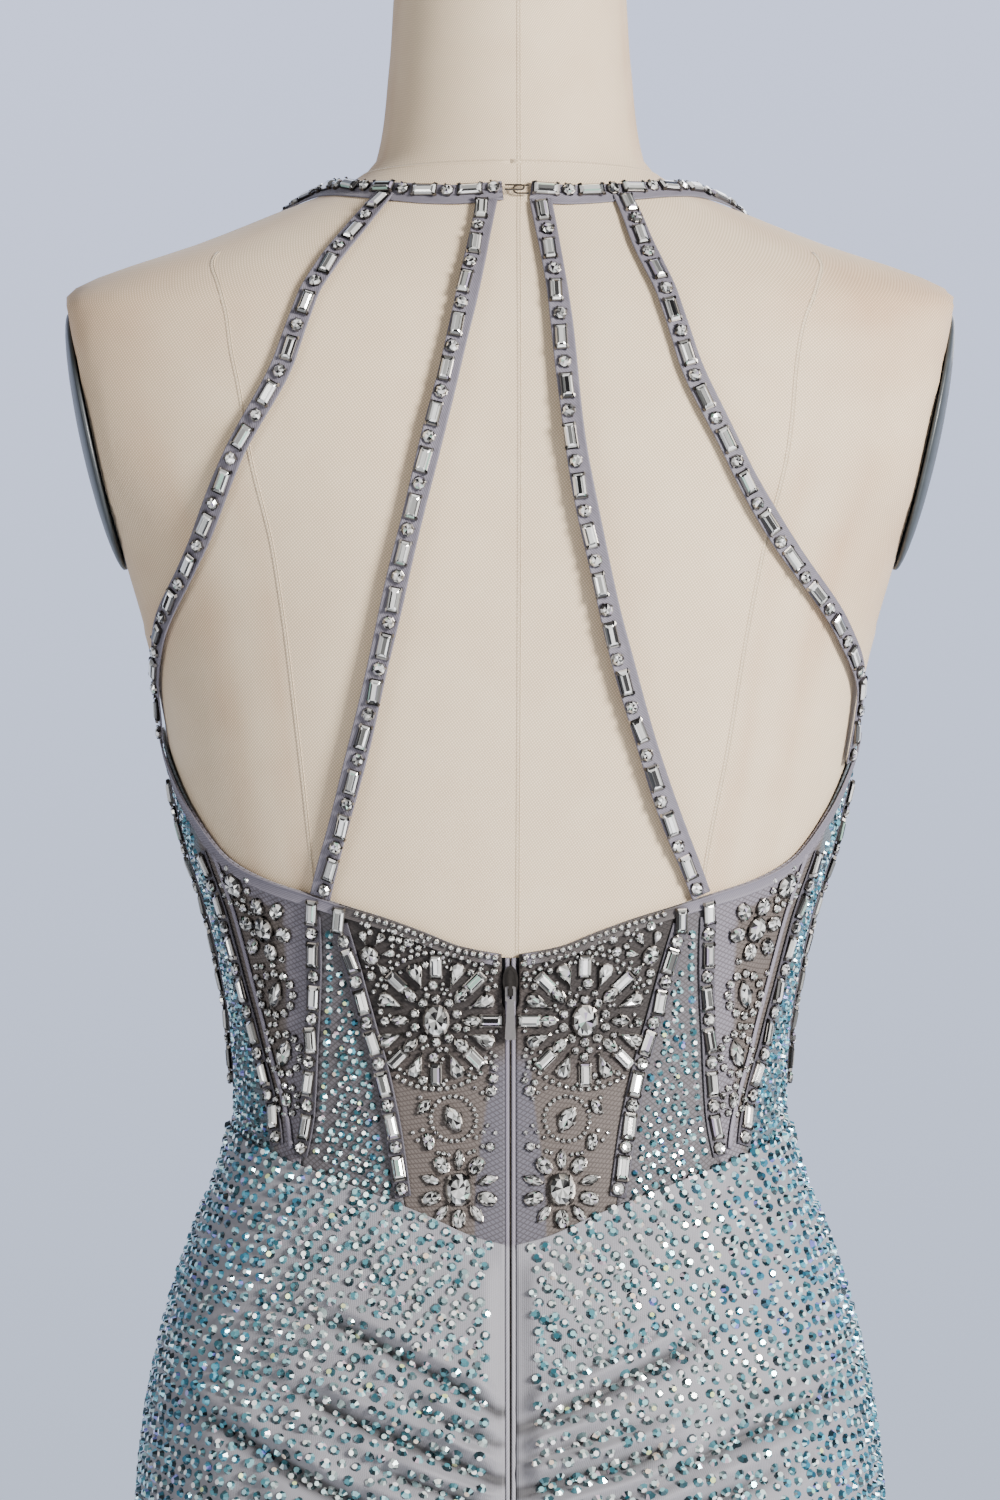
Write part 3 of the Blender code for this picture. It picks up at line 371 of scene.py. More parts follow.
def arcs_from_back(height, last_turn, samples=160):
    """Turns from the centre back and how far each lies along the skin at each height."""
    height = np.atleast_1d(np.asarray(height, float))
    turns = np.linspace(0, last_turn, samples)
    line = skin_point(turns[None, :] + 0 * height[:, None], height[:, None] + 0 * turns[None, :])
    steps = np.linalg.norm(np.diff(line, axis=1), axis=-1)
    return turns, np.concatenate([np.zeros((len(height), 1)), np.cumsum(steps, axis=1)], 1)


def turn_from_arc(arc, height):
    """Turn of the place that lies a given way round the skin from the centre back."""
    turns, arcs = arcs_from_back(height, 110.0)
    index = np.clip((arcs < arc[:, None]).sum(axis=1) - 1, 0, len(turns) - 2)
    row = np.arange(len(arc))
    low, high = arcs[row, index], arcs[row, index + 1]
    return turns[index] + (turns[index + 1] - turns[index]) * (arc - low) / (high - low)


def arc_from_turn(turn, height):
    """How far round the skin one place lies from the centre back."""
    turns, arcs = arcs_from_back(height, 110.0)
    return float(np.interp(turn, turns, arcs[0]))


def waver(turn, height, lengths, seed):
    """Gentle irregular wave of about one unit: a sum of sines with set lengths and chance phases."""
    chance = np.random.default_rng(seed)
    total = 0
    for length in lengths:
        phase_a, phase_b, slant = chance.uniform(0, 2 * math.pi, 3)
        place = (np.radians(turn) * 0.13 * math.cos(slant) + height * math.sin(slant)) / length
        total = total + np.sin(2 * math.pi * place + phase_a) * np.cos(0.3 * place + phase_b)
    return total / math.sqrt(len(lengths))


# Meshes from arrays

def mesh_object(name, points, corners, counts, materials, smooth=True, tint=None, uv=None, faces=None):
    """Mesh from points, the corner indices of its faces and how many corners each face has.

    Tint is one sRGB colour a corner, uv one pair a corner, and faces one material index a face.
    """
    mesh = bpy.data.meshes.new(name)
    mesh.vertices.add(len(points))
    mesh.vertices.foreach_set("co", np.ascontiguousarray(points, np.float32).ravel())
    mesh.loops.add(len(corners))
    mesh.loops.foreach_set("vertex_index", np.ascontiguousarray(corners, np.int32))
    starts = np.concatenate([[0], np.cumsum(counts)[:-1]]).astype(np.int32)
    mesh.polygons.add(len(counts))
    mesh.polygons.foreach_set("loop_start", starts)
    if faces is not None:
        mesh.polygons.foreach_set("material_index", np.ascontiguousarray(faces, np.int32))
    mesh.update(calc_edges=True)
    if uv is not None:
        layer = mesh.uv_layers.new(name="cloth")
        layer.data.foreach_set("uv", np.ascontiguousarray(uv, np.float32).ravel())
    if tint is not None:
        shade = mesh.color_attributes.new(name="tint", type="BYTE_COLOR", domain="CORNER")
        rgba = np.concatenate([tint, np.ones((len(tint), 1))], 1)
        shade.data.foreach_set("color_srgb", np.ascontiguousarray(rgba, np.float32).ravel())
    mesh.polygons.foreach_set("use_smooth", np.full(len(counts), smooth))
    for material in materials:
        mesh.materials.append(material)
    mesh.validate()
    obj = bpy.data.objects.new(name, mesh)
    bpy.context.scene.collection.objects.link(obj)
    return obj


def grid_quads(rows, columns):
    """Corners of a grid's quads, down each left side and up each right one."""
    a = (np.arange(rows - 1)[:, None] * columns + np.arange(columns - 1)[None, :]).ravel()
    return np.stack([a, a + columns, a + columns + 1, a + 1], 1)


def faces_out(points, quads, outward):
    """The quads turned to face outward, where outward gives one direction a point."""
    corner = points[quads]
    normal = np.cross(corner[:, 1] - corner[:, 0], corner[:, 3] - corner[:, 0])
    return quads if np.sum(normal * outward[quads[:, 0]]) > 0 else quads[:, ::-1]


def cloth_wall(name, inner, outer, materials, tint=None, uv=None):
    """Cloth between two grids of points: the grids are its two sides and a strip closes its rim.

    The pattern's own map is metres along the columns and down the rows of the outer side.
    """
    rows, columns = outer.shape[:2]
    size = rows * columns
    points = np.concatenate([outer.reshape(-1, 3), inner.reshape(-1, 3)])
    quads = grid_quads(rows, columns)
    turned = faces_out(points[:size], quads, (outer - inner).reshape(-1, 3))
    down = np.arange(rows) * columns
    along = (rows - 1) * columns + np.arange(1, columns)
    up = np.arange(rows - 2, -1, -1) * columns + columns - 1
    loop = np.concatenate([down, along, up, np.arange(columns - 2, 0, -1)])
    after = np.roll(loop, -1)
    rim = np.stack([after, loop, loop + size, after + size], 1)
    if turned is not quads:
        rim = rim[:, ::-1]
    corners = np.concatenate([turned, turned[:, ::-1] + size, rim]).ravel()
    if uv is None:
        u = np.cumsum(np.linalg.norm(np.diff(outer, axis=1, prepend=outer[:, :1]), axis=-1), axis=1)
        v = np.cumsum(np.linalg.norm(np.diff(outer, axis=0, prepend=outer[:1]), axis=-1), axis=0)
        uv = np.stack([u, -v], -1)
    uv = np.concatenate([uv.reshape(-1, 2)] * 2)[corners]
    if tint is not None:
        tint = np.concatenate([tint.reshape(-1, 3)] * 2)[corners]
    counts = np.full(len(corners) // 4, 4)
    return mesh_object(name, points, corners, counts, materials, tint=tint, uv=uv)


def closed_tube(name, rings, materials, tint=None, smooth=True, uv=None):
    """Tube through closed rings of equal counts, with a fan of triangles over each end."""
    rows, count = rings.shape[:2]
    joined = np.concatenate([rings, rings[:, :1]], 1)
    centres = np.stack([rings[0].mean(axis=0), rings[-1].mean(axis=0)])
    points = np.concatenate([rings.reshape(-1, 3), centres])
    quads = grid_quads(rows, count + 1)
    quads = quads // (count + 1) * count + quads % (count + 1) % count
    middles = rings.mean(axis=1, keepdims=True)
    outward = np.concatenate([(rings - middles).reshape(-1, 3), np.zeros((2, 3))])
    turned = faces_out(points, quads, outward)
    ring = np.arange(count)
    after = np.roll(ring, -1)
    first = np.stack([ring, after, np.full(count, rows * count)], 1)
    last = np.stack([after, ring, np.full(count, rows * count + 1)], 1)
    last[:, :2] += (rows - 1) * count
    if turned is quads:
        first, last = first[:, ::-1], last[:, ::-1]
    first, last = first[:, ::-1], last[:, ::-1]
    corners = np.concatenate([turned.ravel(), first.ravel(), last.ravel()])
    counts = np.concatenate([np.full(len(turned), 4), np.full(2 * count, 3)])
    if uv is None:
        u = np.cumsum(np.linalg.norm(np.diff(joined, axis=1, prepend=joined[:, :1]), axis=-1), axis=1)
        v = np.cumsum(np.linalg.norm(np.diff(rings, axis=0, prepend=rings[:1]), axis=-1), axis=0)
        uv = np.stack([u[:, :-1], -v], -1)
    flat_uv = np.concatenate([uv.reshape(-1, 2), uv[0, :1], uv[-1, :1]])[corners]
    if tint is not None:
        ends = np.stack([tint[0].mean(axis=0), tint[-1].mean(axis=0)])
        tint = np.concatenate([tint.reshape(-1, 3), ends])[corners]
    return mesh_object(name, points, corners, counts, materials, smooth=smooth, tint=tint, uv=flat_uv)


def panel_grid(left, right, top, bottom, rows, columns):
    """Turns and heights of a panel between four edges, settled against each other in rounds."""
    down = np.linspace(0, 1, rows)[:, None]
    along = np.linspace(0, 1, columns)[None, :]
    height = np.full((rows, columns), 1.06)
    for _ in range(12):
        turn = left(height) + (right(height) - left(height)) * along
        height = top(turn) + (bottom(turn) - top(turn)) * down
    return turn, height


def route_points(turns, heights, lifts, stations=None, lean=0.0):
    """Middle line of a ribbon with its outward and sideways directions.

    Stations are distances along the line; without them only its length is worked out. The lean
    adds that much of the level outward direction, so that a ribbon stands up on a slope.
    """
    steps = np.arange(len(turns))
    dense = np.linspace(0, len(turns) - 1, 600)
    line = body_point(*(smooth_value(dense, steps, v) for v in (turns, heights, lifts)))
    run = np.concatenate([[0.0], np.cumsum(np.linalg.norm(np.diff(line, axis=0), axis=1))])
    if stations is None:
        return run[-1]
    place = np.interp(stations, run, dense)
    turn, height, lift = (smooth_value(place, steps, v) for v in (turns, heights, lifts))
    centre = body_point(turn, height, lift)
    ahead = unit(np.stack([np.interp(stations, run, np.gradient(line[:, k], run)) for k in range(3)], -1))
    outward = skin_normal(turn, height)
    outward = outward + lean * unit(outward * (1, 1, 0))
    outward = unit(outward - ahead * np.sum(outward * ahead, axis=-1, keepdims=True))
    return centre, outward, np.cross(outward, ahead)


# Colours and materials

def srgb(text):
    """Red, green and blue from 0 to 1 of one sRGB hex colour."""
    return np.array([int(text[i:i + 2], 16) / 255 for i in (1, 3, 5)])


def linear(text):
    """Linear colour with alpha of one sRGB hex colour."""
    value = srgb(text)
    low = value / 12.92
    high = ((value + 0.055) / 1.055) ** 2.4
    return (*np.where(value <= 0.04045, low, high), 1.0)


def add_node(tree, kind, links=None, values=None, **settings):
    """Add a node, with sockets linked or set by name or number, and its own settings."""
    made = tree.nodes.new(kind)
    for key, value in settings.items():
        setattr(made, key, value)
    for key, value in (values or {}).items():
        made.inputs[key].default_value = value
    for key, socket in (links or {}).items():
        tree.links.new(socket, made.inputs[key])
    return made


def start_material(name, **values):
    """A material with one Principled shader, its sockets set by their names."""
    material = bpy.data.materials.new(name)
    material.use_nodes = True
    shader = material.node_tree.nodes["Principled BSDF"]
    for key, value in values.items():
        shader.inputs[key.replace("_", " ")].default_value = value
    return material, material.node_tree, shader


def tinted(tree):
    """The piece's own tint, read from its colour attribute."""
    return add_node(tree, "ShaderNodeVertexColor", layer_name="tint").outputs["Color"]


def threads(tree, pitch, angle, kind="SIN"):
    """Parallel threads of a cloth, from its own map in metres: one wave a thread.

    The wave texture has 20 / (2 pi) waves a unit, so its scale is 0.314 over the pitch.
    """
    place = add_node(tree, "ShaderNodeUVMap", uv_map="cloth")
    turned = add_node(
        tree, "ShaderNodeMapping", links={"Vector": place.outputs["UV"]},
        values={"Rotation": (0, 0, math.radians(angle)), "Scale": (1 / pitch,) * 3})
    return add_node(
        tree, "ShaderNodeTexWave", links={"Vector": turned.outputs["Vector"]},
        values={"Scale": math.pi / 10, "Distortion": 0.0}, wave_profile=kind).outputs["Fac"]


def add_bump(tree, shader, height, distance, strength=1.0):
    bump = add_node(
        tree, "ShaderNodeBump", links={"Height": height},
        values={"Distance": distance, "Strength": strength})
    tree.links.new(bump.outputs["Normal"], shader.inputs["Normal"])


def mixed(tree, factor, first, second, blend="MIX"):
    """Two colours mixed by a factor, each a socket or a plain colour."""
    mix = add_node(tree, "ShaderNodeMix", data_type="RGBA", blend_type=blend)
    for key, value in ((0, factor), (6, first), (7, second)):
        if isinstance(value, bpy.types.NodeSocket):
            tree.links.new(value, mix.inputs[key])
        else:
            mix.inputs[key].default_value = value
    return mix.outputs[2]


def canvas_material():
    """Cotton canvas of the form: unglazed, so matt, with a plain weave of slubby threads.

    The real threads are 0.5 mm apart; they are drawn 1.1 mm apart, or they would not show.
    """
    material, tree, shader = start_material(
        "cotton_canvas", Roughness=0.88, Sheen_Weight=0.15, Sheen_Roughness=0.5)
    weave = add_node(
        tree, "ShaderNodeMath", operation="MULTIPLY",
        links={0: threads(tree, 1.1 * MM, 52), 1: threads(tree, 1.1 * MM, -38)}).outputs[0]
    place = add_node(tree, "ShaderNodeTexCoord").outputs["Object"]
    slub = add_node(
        tree, "ShaderNodeTexNoise", links={"Vector": place},
        values={"Scale": 55.0, "Detail": 4.0}).outputs["Fac"]
    blotch = add_node(
        tree, "ShaderNodeTexNoise", links={"Vector": place},
        values={"Scale": 9.0, "Detail": 3.0}).outputs["Fac"]
    dark = mixed(tree, 1.0, tinted(tree), linear("#CBC3B8"), "MULTIPLY")
    colour = mixed(tree, weave, dark, tinted(tree))
    slubbed = mixed(tree, 0.10, colour, slub, "OVERLAY")
    aged = mixed(tree, 0.10, slubbed, blotch, "OVERLAY")
    tree.links.new(aged, shader.inputs["Base Color"])
    add_bump(tree, shader, weave, 0.00004)
    return material


def jersey_material():
    """Polyester knit jersey under the stones: fine ribs with a soft sheen, 0.9 mm a rib."""
    material, tree, shader = start_material(
        "knit_jersey", Roughness=0.62, Sheen_Weight=0.25, Sheen_Roughness=0.4)
    rib = threads(tree, 0.9 * MM, 0)
    course = threads(tree, 0.7 * MM, 90)
    knit = add_node(tree, "ShaderNodeMath", operation="ADD", links={0: rib, 1: course}).outputs[0]
    shade = mixed(tree, 1.0, tinted(tree), linear("#E9E9EA"), "MULTIPLY")
    colour = mixed(tree, rib, shade, tinted(tree))
    tree.links.new(colour, shader.inputs["Base Color"])
    add_bump(tree, shader, knit, 0.00006)
    return material


def net_material():
    """Nylon net over the form: hexagonal mesh of about 1 mm, drawn 1.9 mm, its threads darker."""
    material, tree, shader = start_material(
        "nylon_net", Roughness=0.7, Sheen_Weight=0.3, Sheen_Roughness=0.35)
    first = threads(tree, 1.9 * MM, 56)
    second = threads(tree, 1.9 * MM, -56)
    mesh = add_node(tree, "ShaderNodeMath", operation="MAXIMUM", links={0: first, 1: second}).outputs[0]
    sharp = add_node(
        tree, "ShaderNodeMapRange", links={"Value": mesh},
        values={"From Min": 0.72, "From Max": 0.96}).outputs[0]
    thread = mixed(tree, 1.0, tinted(tree), linear("#C4BFBC"), "MULTIPLY")
    tree.links.new(mixed(tree, sharp, tinted(tree), thread), shader.inputs["Base Color"])
    add_bump(tree, shader, sharp, 0.00008)
    return material


def tulle_material():
    """Folded tulle ribbon: layers of fine net, so soft and a little glossy, with a slanting grain."""
    material, tree, shader = start_material(
        "folded_tulle", Roughness=0.6, Sheen_Weight=0.2, Sheen_Roughness=0.3)
    grain = threads(tree, 0.9 * MM, 38)
    shade = mixed(tree, 1.0, tinted(tree), linear("#DAD9DE"), "MULTIPLY")
    tree.links.new(mixed(tree, grain, shade, tinted(tree)), shader.inputs["Base Color"])
    add_bump(tree, shader, grain, 0.00006)
    return material


def crystal_material():
    """Foiled lead glass, glossy: each facet's tint is a painted reflection, bright or dark with hard edges.
    """
    material, tree, shader = start_material(
        "foiled_crystal_glass", Roughness=0.12, Metallic=0.5, IOR=1.7, Coat_Weight=0.6, Coat_Roughness=0.05)
    tree.links.new(tinted(tree), shader.inputs["Base Color"])
    return material


def silver_material():
    """Antique silver plate on brass cups: each face its own shade, pale to near black by chance, under a
    fine noise.
    """
    material, tree, shader = start_material("antique_silver_plate", Roughness=0.32, Metallic=0.9)
    place = add_node(tree, "ShaderNodeTexCoord").outputs["Object"]
    wear = add_node(
        tree, "ShaderNodeTexNoise", links={"Vector": place},
        values={"Scale": 900.0, "Detail": 2.0}).outputs["Fac"]
    tree.links.new(mixed(tree, 0.35, tinted(tree), wear, "OVERLAY"), shader.inputs["Base Color"])
    return material


def coated_material():
    """Rhinestones with a rainbow coating: glass over foil, glossy, each facet of its own tint, which is the
    coating's hue with painted shade and painted glints.
    """
    material, tree, shader = start_material(
        "coated_rhinestone", Roughness=0.14, Metallic=0.35, IOR=1.6, Coat_Weight=0.8, Coat_Roughness=0.06)
    tree.links.new(tinted(tree), shader.inputs["Base Color"])
    return material


def metal_material(name, hexes, roughness, scale):
    """Polished cast metal with fine handling marks: two near shades by a small noise."""
    material, tree, shader = start_material(name, Metallic=1.0, Roughness=roughness)
    place = add_node(tree, "ShaderNodeTexCoord").outputs["Object"]
    marks = add_node(
        tree, "ShaderNodeTexNoise", links={"Vector": place},
        values={"Scale": scale, "Detail": 5.0}).outputs["Fac"]
    tree.links.new(mixed(tree, marks, linear(hexes[0]), linear(hexes[1])), shader.inputs["Base Color"])
    add_bump(tree, shader, marks, 0.00003, 0.3)
    return material


def plate_material():
    """Painted steel plate of the armholes: satin enamel with faint brush streaks."""
    material, tree, shader = start_material("satin_enamel_plate", Roughness=0.44, Coat_Weight=0.1)
    place = add_node(tree, "ShaderNodeTexCoord").outputs["Object"]
    turned = add_node(
        tree, "ShaderNodeMapping", links={"Vector": place}, values={"Scale": (40.0, 40.0, 260.0)})
    streaks = add_node(
        tree, "ShaderNodeTexNoise", links={"Vector": turned.outputs["Vector"]},
        values={"Scale": 1.0}).outputs["Fac"]
    tree.links.new(mixed(tree, streaks, linear("#2A2F32"), linear("#383E41")), shader.inputs["Base Color"])
    return material


def shared_material(name):
    """The material of that name, made on first use."""
    makers = {
        "cotton_canvas": canvas_material,
        "knit_jersey": jersey_material,
        "nylon_net": net_material,
        "folded_tulle": tulle_material,
        "foiled_crystal_glass": crystal_material,
        "antique_silver_plate": silver_material,
        "coated_rhinestone": coated_material,
        "satin_enamel_plate": plate_material,
        "gunmetal_zinc": lambda: metal_material("gunmetal_zinc", ("#4F4B48", "#77726D"), 0.28, 700.0),
        "brushed_steel": lambda: metal_material("brushed_steel", ("#9C9FA3", "#B7BABD"), 0.30, 60.0),
        "blackened_wire": lambda: metal_material("blackened_wire", ("#3B3733", "#7D766D"), 0.30, 900.0),
        "satin_nickel": lambda: metal_material("satin_nickel", ("#A19D9C", "#BBB8B7"), 0.36, 800.0),
    }
    found = bpy.data.materials.get(name)
    return found if found is not None else makers[name]()


# Stones

def outline_of(kind, count):
    """Unit outline of a stone, counter-clockwise: its length along X and its width along Y."""
    angle = 2 * math.pi * (np.arange(count) + 0.5) / count
    x, y = np.cos(angle) / 2, np.sin(angle) / 2
    if kind == "marquise":
        y = np.sign(y) * np.abs(2 * y) ** 1.6 / 2
    if kind == "teardrop":
        y = y * np.cos(angle / 2) ** 2 * 1.3
        y = np.clip(y, -0.5, 0.5)
    if kind == "baguette":
        x = np.array([0.5, 0.44, -0.44, -0.5, -0.5, -0.44, 0.44, 0.5])
        y = np.array([0.40, 0.5, 0.5, 0.40, -0.40, -0.5, -0.5, -0.40])
    return np.stack([x, y], 1)


def stone_shape(kind, count, table, claws):
    """A cut stone in its cup, of unit size: rings of the outline from the foot up to the table.

    The rings are the cup's foot, its rim, the stone's girdle and its table, and a point in the
    middle of the table. Between girdle and table each side is two facets. A baguette has one
    more ring, a step, and its table is three flat strips. Claws are slim pyramids from the
    cup's wall over the stone's edge, at the outline points that are named.
    Returns points, faces as lists, and which faces are metal.
    """
    outline = outline_of(kind, count)
    count = len(outline)
    stepped = kind == "baguette"
    crown = ((0.75, 0.62, 0.80), (*table, 0.96)) if stepped else ((*table, 0.96),)
    levels = ((0.92, 0.92, 0.0), (1.0, 1.0, 0.45), (0.89, 0.86, 0.52), *crown)
    rings = [np.column_stack([outline * (sx, sy), np.full(count, z)]) for sx, sy, z in levels]
    points = np.concatenate([*rings, [[0.0, 0.0, 0.90]]])
    ring = np.arange(count)
    after = np.roll(ring, -1)
    faces = [tuple(ring[::-1])]
    for level in range(len(levels) - 1):
        low, high = level * count, (level + 1) * count
        if level < 2 or stepped:
            faces += [tuple(q) for q in np.stack([ring + low, after + low, after + high, ring + high], 1)]
        else:
            faces += [tuple(q) for q in np.stack([ring + low, after + low, ring + high], 1)]
            faces += [tuple(q) for q in np.stack([after + low, after + high, ring + high], 1)]
    top = (len(levels) - 1) * count
    if stepped:
        points = points[:-1]
        faces += [tuple(top + i for i in strip) for strip in ((0, 1, 2, 3), (0, 3, 4, 7), (4, 5, 6, 7))]
    else:
        faces += [tuple(q) for q in np.stack([ring + top, after + top, np.full(count, top + count)], 1)]
    metal = [True] * (1 + 2 * count) + [False] * (len(faces) - 1 - 2 * count)
    for index in claws:
        corner = outline[index]
        side = np.array([-corner[1], corner[0]]) * 0.16 / np.linalg.norm(corner) * 0.5
        start = len(points)
        base = [
            (*(corner * 1.10 - side), 0.20), (*(corner * 1.10 + side), 0.20),
            (*(corner * 1.02 + side), 0.72), (*(corner * 1.02 - side), 0.72), (*(corner * 0.74), 0.86)]
        points = np.concatenate([points, base])
        tip = start + 4
        faces += [
            (start, start + 1, start + 2, start + 3), (start, start + 3, tip), (start + 3, start + 2, tip)]
        faces += [(start + 2, start + 1, tip), (start + 1, start, tip)]
        metal += [True] * 5
    return points, faces, np.array(metal)


def rhinestone_shape(count=8):
    """Flat-backed stone of unit size: a foot ring and a smaller table ring on facets."""
    angle = 2 * math.pi * np.arange(count) / count
    ring = np.stack([np.cos(angle) / 2, np.sin(angle) / 2, np.zeros(count)], 1)
    points = np.concatenate([ring, ring * (0.50, 0.50, 0) + (0, 0, 1.0)])
    index = np.arange(count)
    after = np.roll(index, -1)
    faces = [tuple(index[::-1]), tuple(index + count)]
    faces += [tuple(q) for q in np.stack([index, after, after + count, index + count], 1)]
    return points, faces


STONE_KINDS = {
    "baguette": stone_shape("baguette", 8, (0.62, 0.36), (1, 2, 5, 6)),
    "round": stone_shape("round", 8, (0.56, 0.56), (0, 2, 4, 6)),
    "oval": stone_shape("oval", 12, (0.56, 0.56), (1, 4, 7, 10)),
    "teardrop": stone_shape("teardrop", 12, (0.58, 0.56), (1, 5, 6, 10)),
    "marquise": stone_shape("marquise", 10, (0.58, 0.54), (2, 4, 5, 7, 9)),
    "bead": stone_shape("round", 6, (0.55, 0.55), ()),
}


def placed_shapes(points, faces, centres, along, aside, outward, sizes):
    """Copies of one shape: each point times its size, carried into each copy's own directions."""
    scaled = points[None, :, :] * sizes[:, None, :]
    axes = np.stack([along, aside, outward], 1)
    placed = centres[:, None, :] + np.einsum("npk,nkj->npj", scaled, axes)
    corners = np.array([i for face in faces for i in face])
    counts = np.array([len(face) for face in faces])
    copies = len(centres)
    all_corners = (corners[None, :] + np.arange(copies)[:, None] * len(points)).ravel()
    return placed.reshape(-1, 3), all_corners, np.tile(counts, copies)


def picked(chance, shades, shares, count):
    """Colours picked from the shades, as often as their shares say."""
    table = np.array([srgb(s) for s in shades])
    shares = np.asarray(shares, float)
    return table[chance.choice(len(shades), size=count, p=shares / shares.sum())]


def tilted(chance, along, outward, degrees):
    """The two directions tilted a little, each copy its own way, and kept square."""
    lean = chance.normal(0, math.radians(degrees), along.shape)
    outward = unit(outward + lean)
    along = unit(along - outward * np.sum(along * outward, axis=-1, keepdims=True))
    return along, np.cross(outward, along), outward


def joined_stones(name, groups, seed):
    """One mesh of many stones: groups are kind, centres, along, outward and sizes."""
    chance = np.random.default_rng(seed)
    points, corners, counts, tints, metals = [], [], [], [], []
    start = 0
    for kind, centres, along, outward, sizes in groups:
        shape, faces, metal = STONE_KINDS[kind]
        frame_axes = tilted(chance, along, outward, 3.0)
        p, c, n = placed_shapes(shape, faces, centres, *frame_axes, sizes)
        is_metal = np.tile(metal, len(centres))
        # painted reflections: each crystal facet bright or dark by chance
        shade = picked(chance, CRYSTAL_PAINTED_REFLECTIONS, CRYSTAL_SHARES, len(n))
        plate = picked(chance, SILVER_SHADES, SILVER_SHARES, len(n))
        tint = np.where(is_metal[:, None], plate, shade)
        points.append(p)
        corners.append(c + start)
        counts.append(n)
        tints.append(np.repeat(tint, n, axis=0))
        metals.append(is_metal)
        start += len(p)
    materials = [shared_material("foiled_crystal_glass"), shared_material("antique_silver_plate")]
    obj = mesh_object(
        name, np.concatenate(points), np.concatenate(corners), np.concatenate(counts), materials,
        smooth=False, tint=np.concatenate(tints), faces=np.concatenate(metals))
    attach(obj, DRESS_BODY)
    return obj


# The skirt's cloth

def crease_place(turn, height, crease):
    """How far a place lies above a crease's bowed line, and how strong the crease is there.

    Along it the crease fades in at its start and out over its last half.
    """
    reach = crease.end_turn - crease.turn
    t = (turn - crease.turn) / reach
    inside = np.clip(t, 0, 1)
    rise = crease.end_height - crease.height
    line = crease.height + rise * (inside + crease.bow * inside * (1 - inside) * 2)
    slope = rise / (math.radians(reach) * 0.125)
    starts = 1.0 if crease.turn < 4 else ease(t, 0.0, 0.25)
    return (height - line) / math.hypot(1, slope), starts * ease(t, 1.08, 0.55) * ease(t, -0.25, 0.0)


def gathered(turn, height, creases):
    """Heights of stones drawn towards the creases that pass near them."""
    shift = np.zeros(len(turn))
    for crease in creases:
        away, fade = crease_place(turn, height, crease)
        reach = 0.0030 + 2.0 * crease.width
        shift = shift - 0.50 * away * fade * np.exp(-(away / reach) ** 2)
    return height + shift


def crease_field(turn, height, creases):
    """How far the creases press the cloth in or let it roll out.

    Across each crease runs a soft valley with a fine line at its bottom, and a roll either
    side, the upper one fuller.
    """
    total = np.zeros(np.broadcast(turn, height).shape)
    for crease in creases:
        away, fade = crease_place(turn, height, crease)
        w = 1.35 * crease.width
        cut = -0.42 * np.exp(-(away / (0.7 * w)) ** 2) - 0.66 * np.exp(-(away / (2.6 * w)) ** 2)
        above = 0.70 * np.exp(-((away - 3.6 * w) / (1.9 * w)) ** 2)
        below = 0.36 * np.exp(-((away + 3.7 * w) / (2.2 * w)) ** 2)
        total = total + 1.25 * crease.depth * fade * (cut + above + below)
    return total


def skirt_folds(turn, height):
    """Lift of the skirt's cloth over its plain form, for the back; turns are signed."""
    turn = np.asarray(turn, float)
    height = np.asarray(height, float)
    folded = np.abs(turn)
    creases = np.where(
        turn > 0, crease_field(folded, height, CREASES_RIGHT), crease_field(folded, height, CREASES_LEFT))
    roll = 0.0009 * waver(turn, height - 0.0008 * folded, (0.021, 0.034, 0.055), 11)
    phase = (height - 0.0008 * folded) / 0.0047 + 0.35 * waver(turn, height, (0.03, 0.018), 5)
    pleats = 0.0015 * (np.abs(np.sin(math.pi * phase)) - 0.45) * (
        0.75 + 0.25 * waver(turn, height, (0.02,), 6))
    pleats = pleats * ease(height, 0.925, 0.905) * ease(folded, 14.0, 4.0)
    seam = waist_seam(turn)
    body = (0.0034 + creases + roll * ease(height, 0.96, 0.92) + pleats) * ease(folded, 86.0, 62.0)
    body = body * ease(height, seam - 0.001, seam - 0.018)
    body = body * ease(height, HEM_HEIGHT + 0.002, HEM_HEIGHT + 0.030)
    lift = np.clip(body, -0.0013, 0.0100) * (0.12 + 0.88 * ease(folded, 1.6, 6.5))
    lift = lift + LAP_LIFT * ease(height, seam - 0.010, seam - 0.002)
    return lift


def cloth_frame(turn, height, lift):
    """Points of a cloth with its directions: along the rows, and outward by two small steps."""
    point = body_point(turn, height, lift(turn, height))
    right = body_point(turn + 0.2, height, lift(turn + 0.2, height))
    left = body_point(turn - 0.2, height, lift(turn - 0.2, height))
    above = body_point(turn, height + 0.0005, lift(turn, height + 0.0005))
    below = body_point(turn, height - 0.0005, lift(turn, height - 0.0005))
    along = unit(right - left)
    return point, along, unit(np.cross(along, above - below))


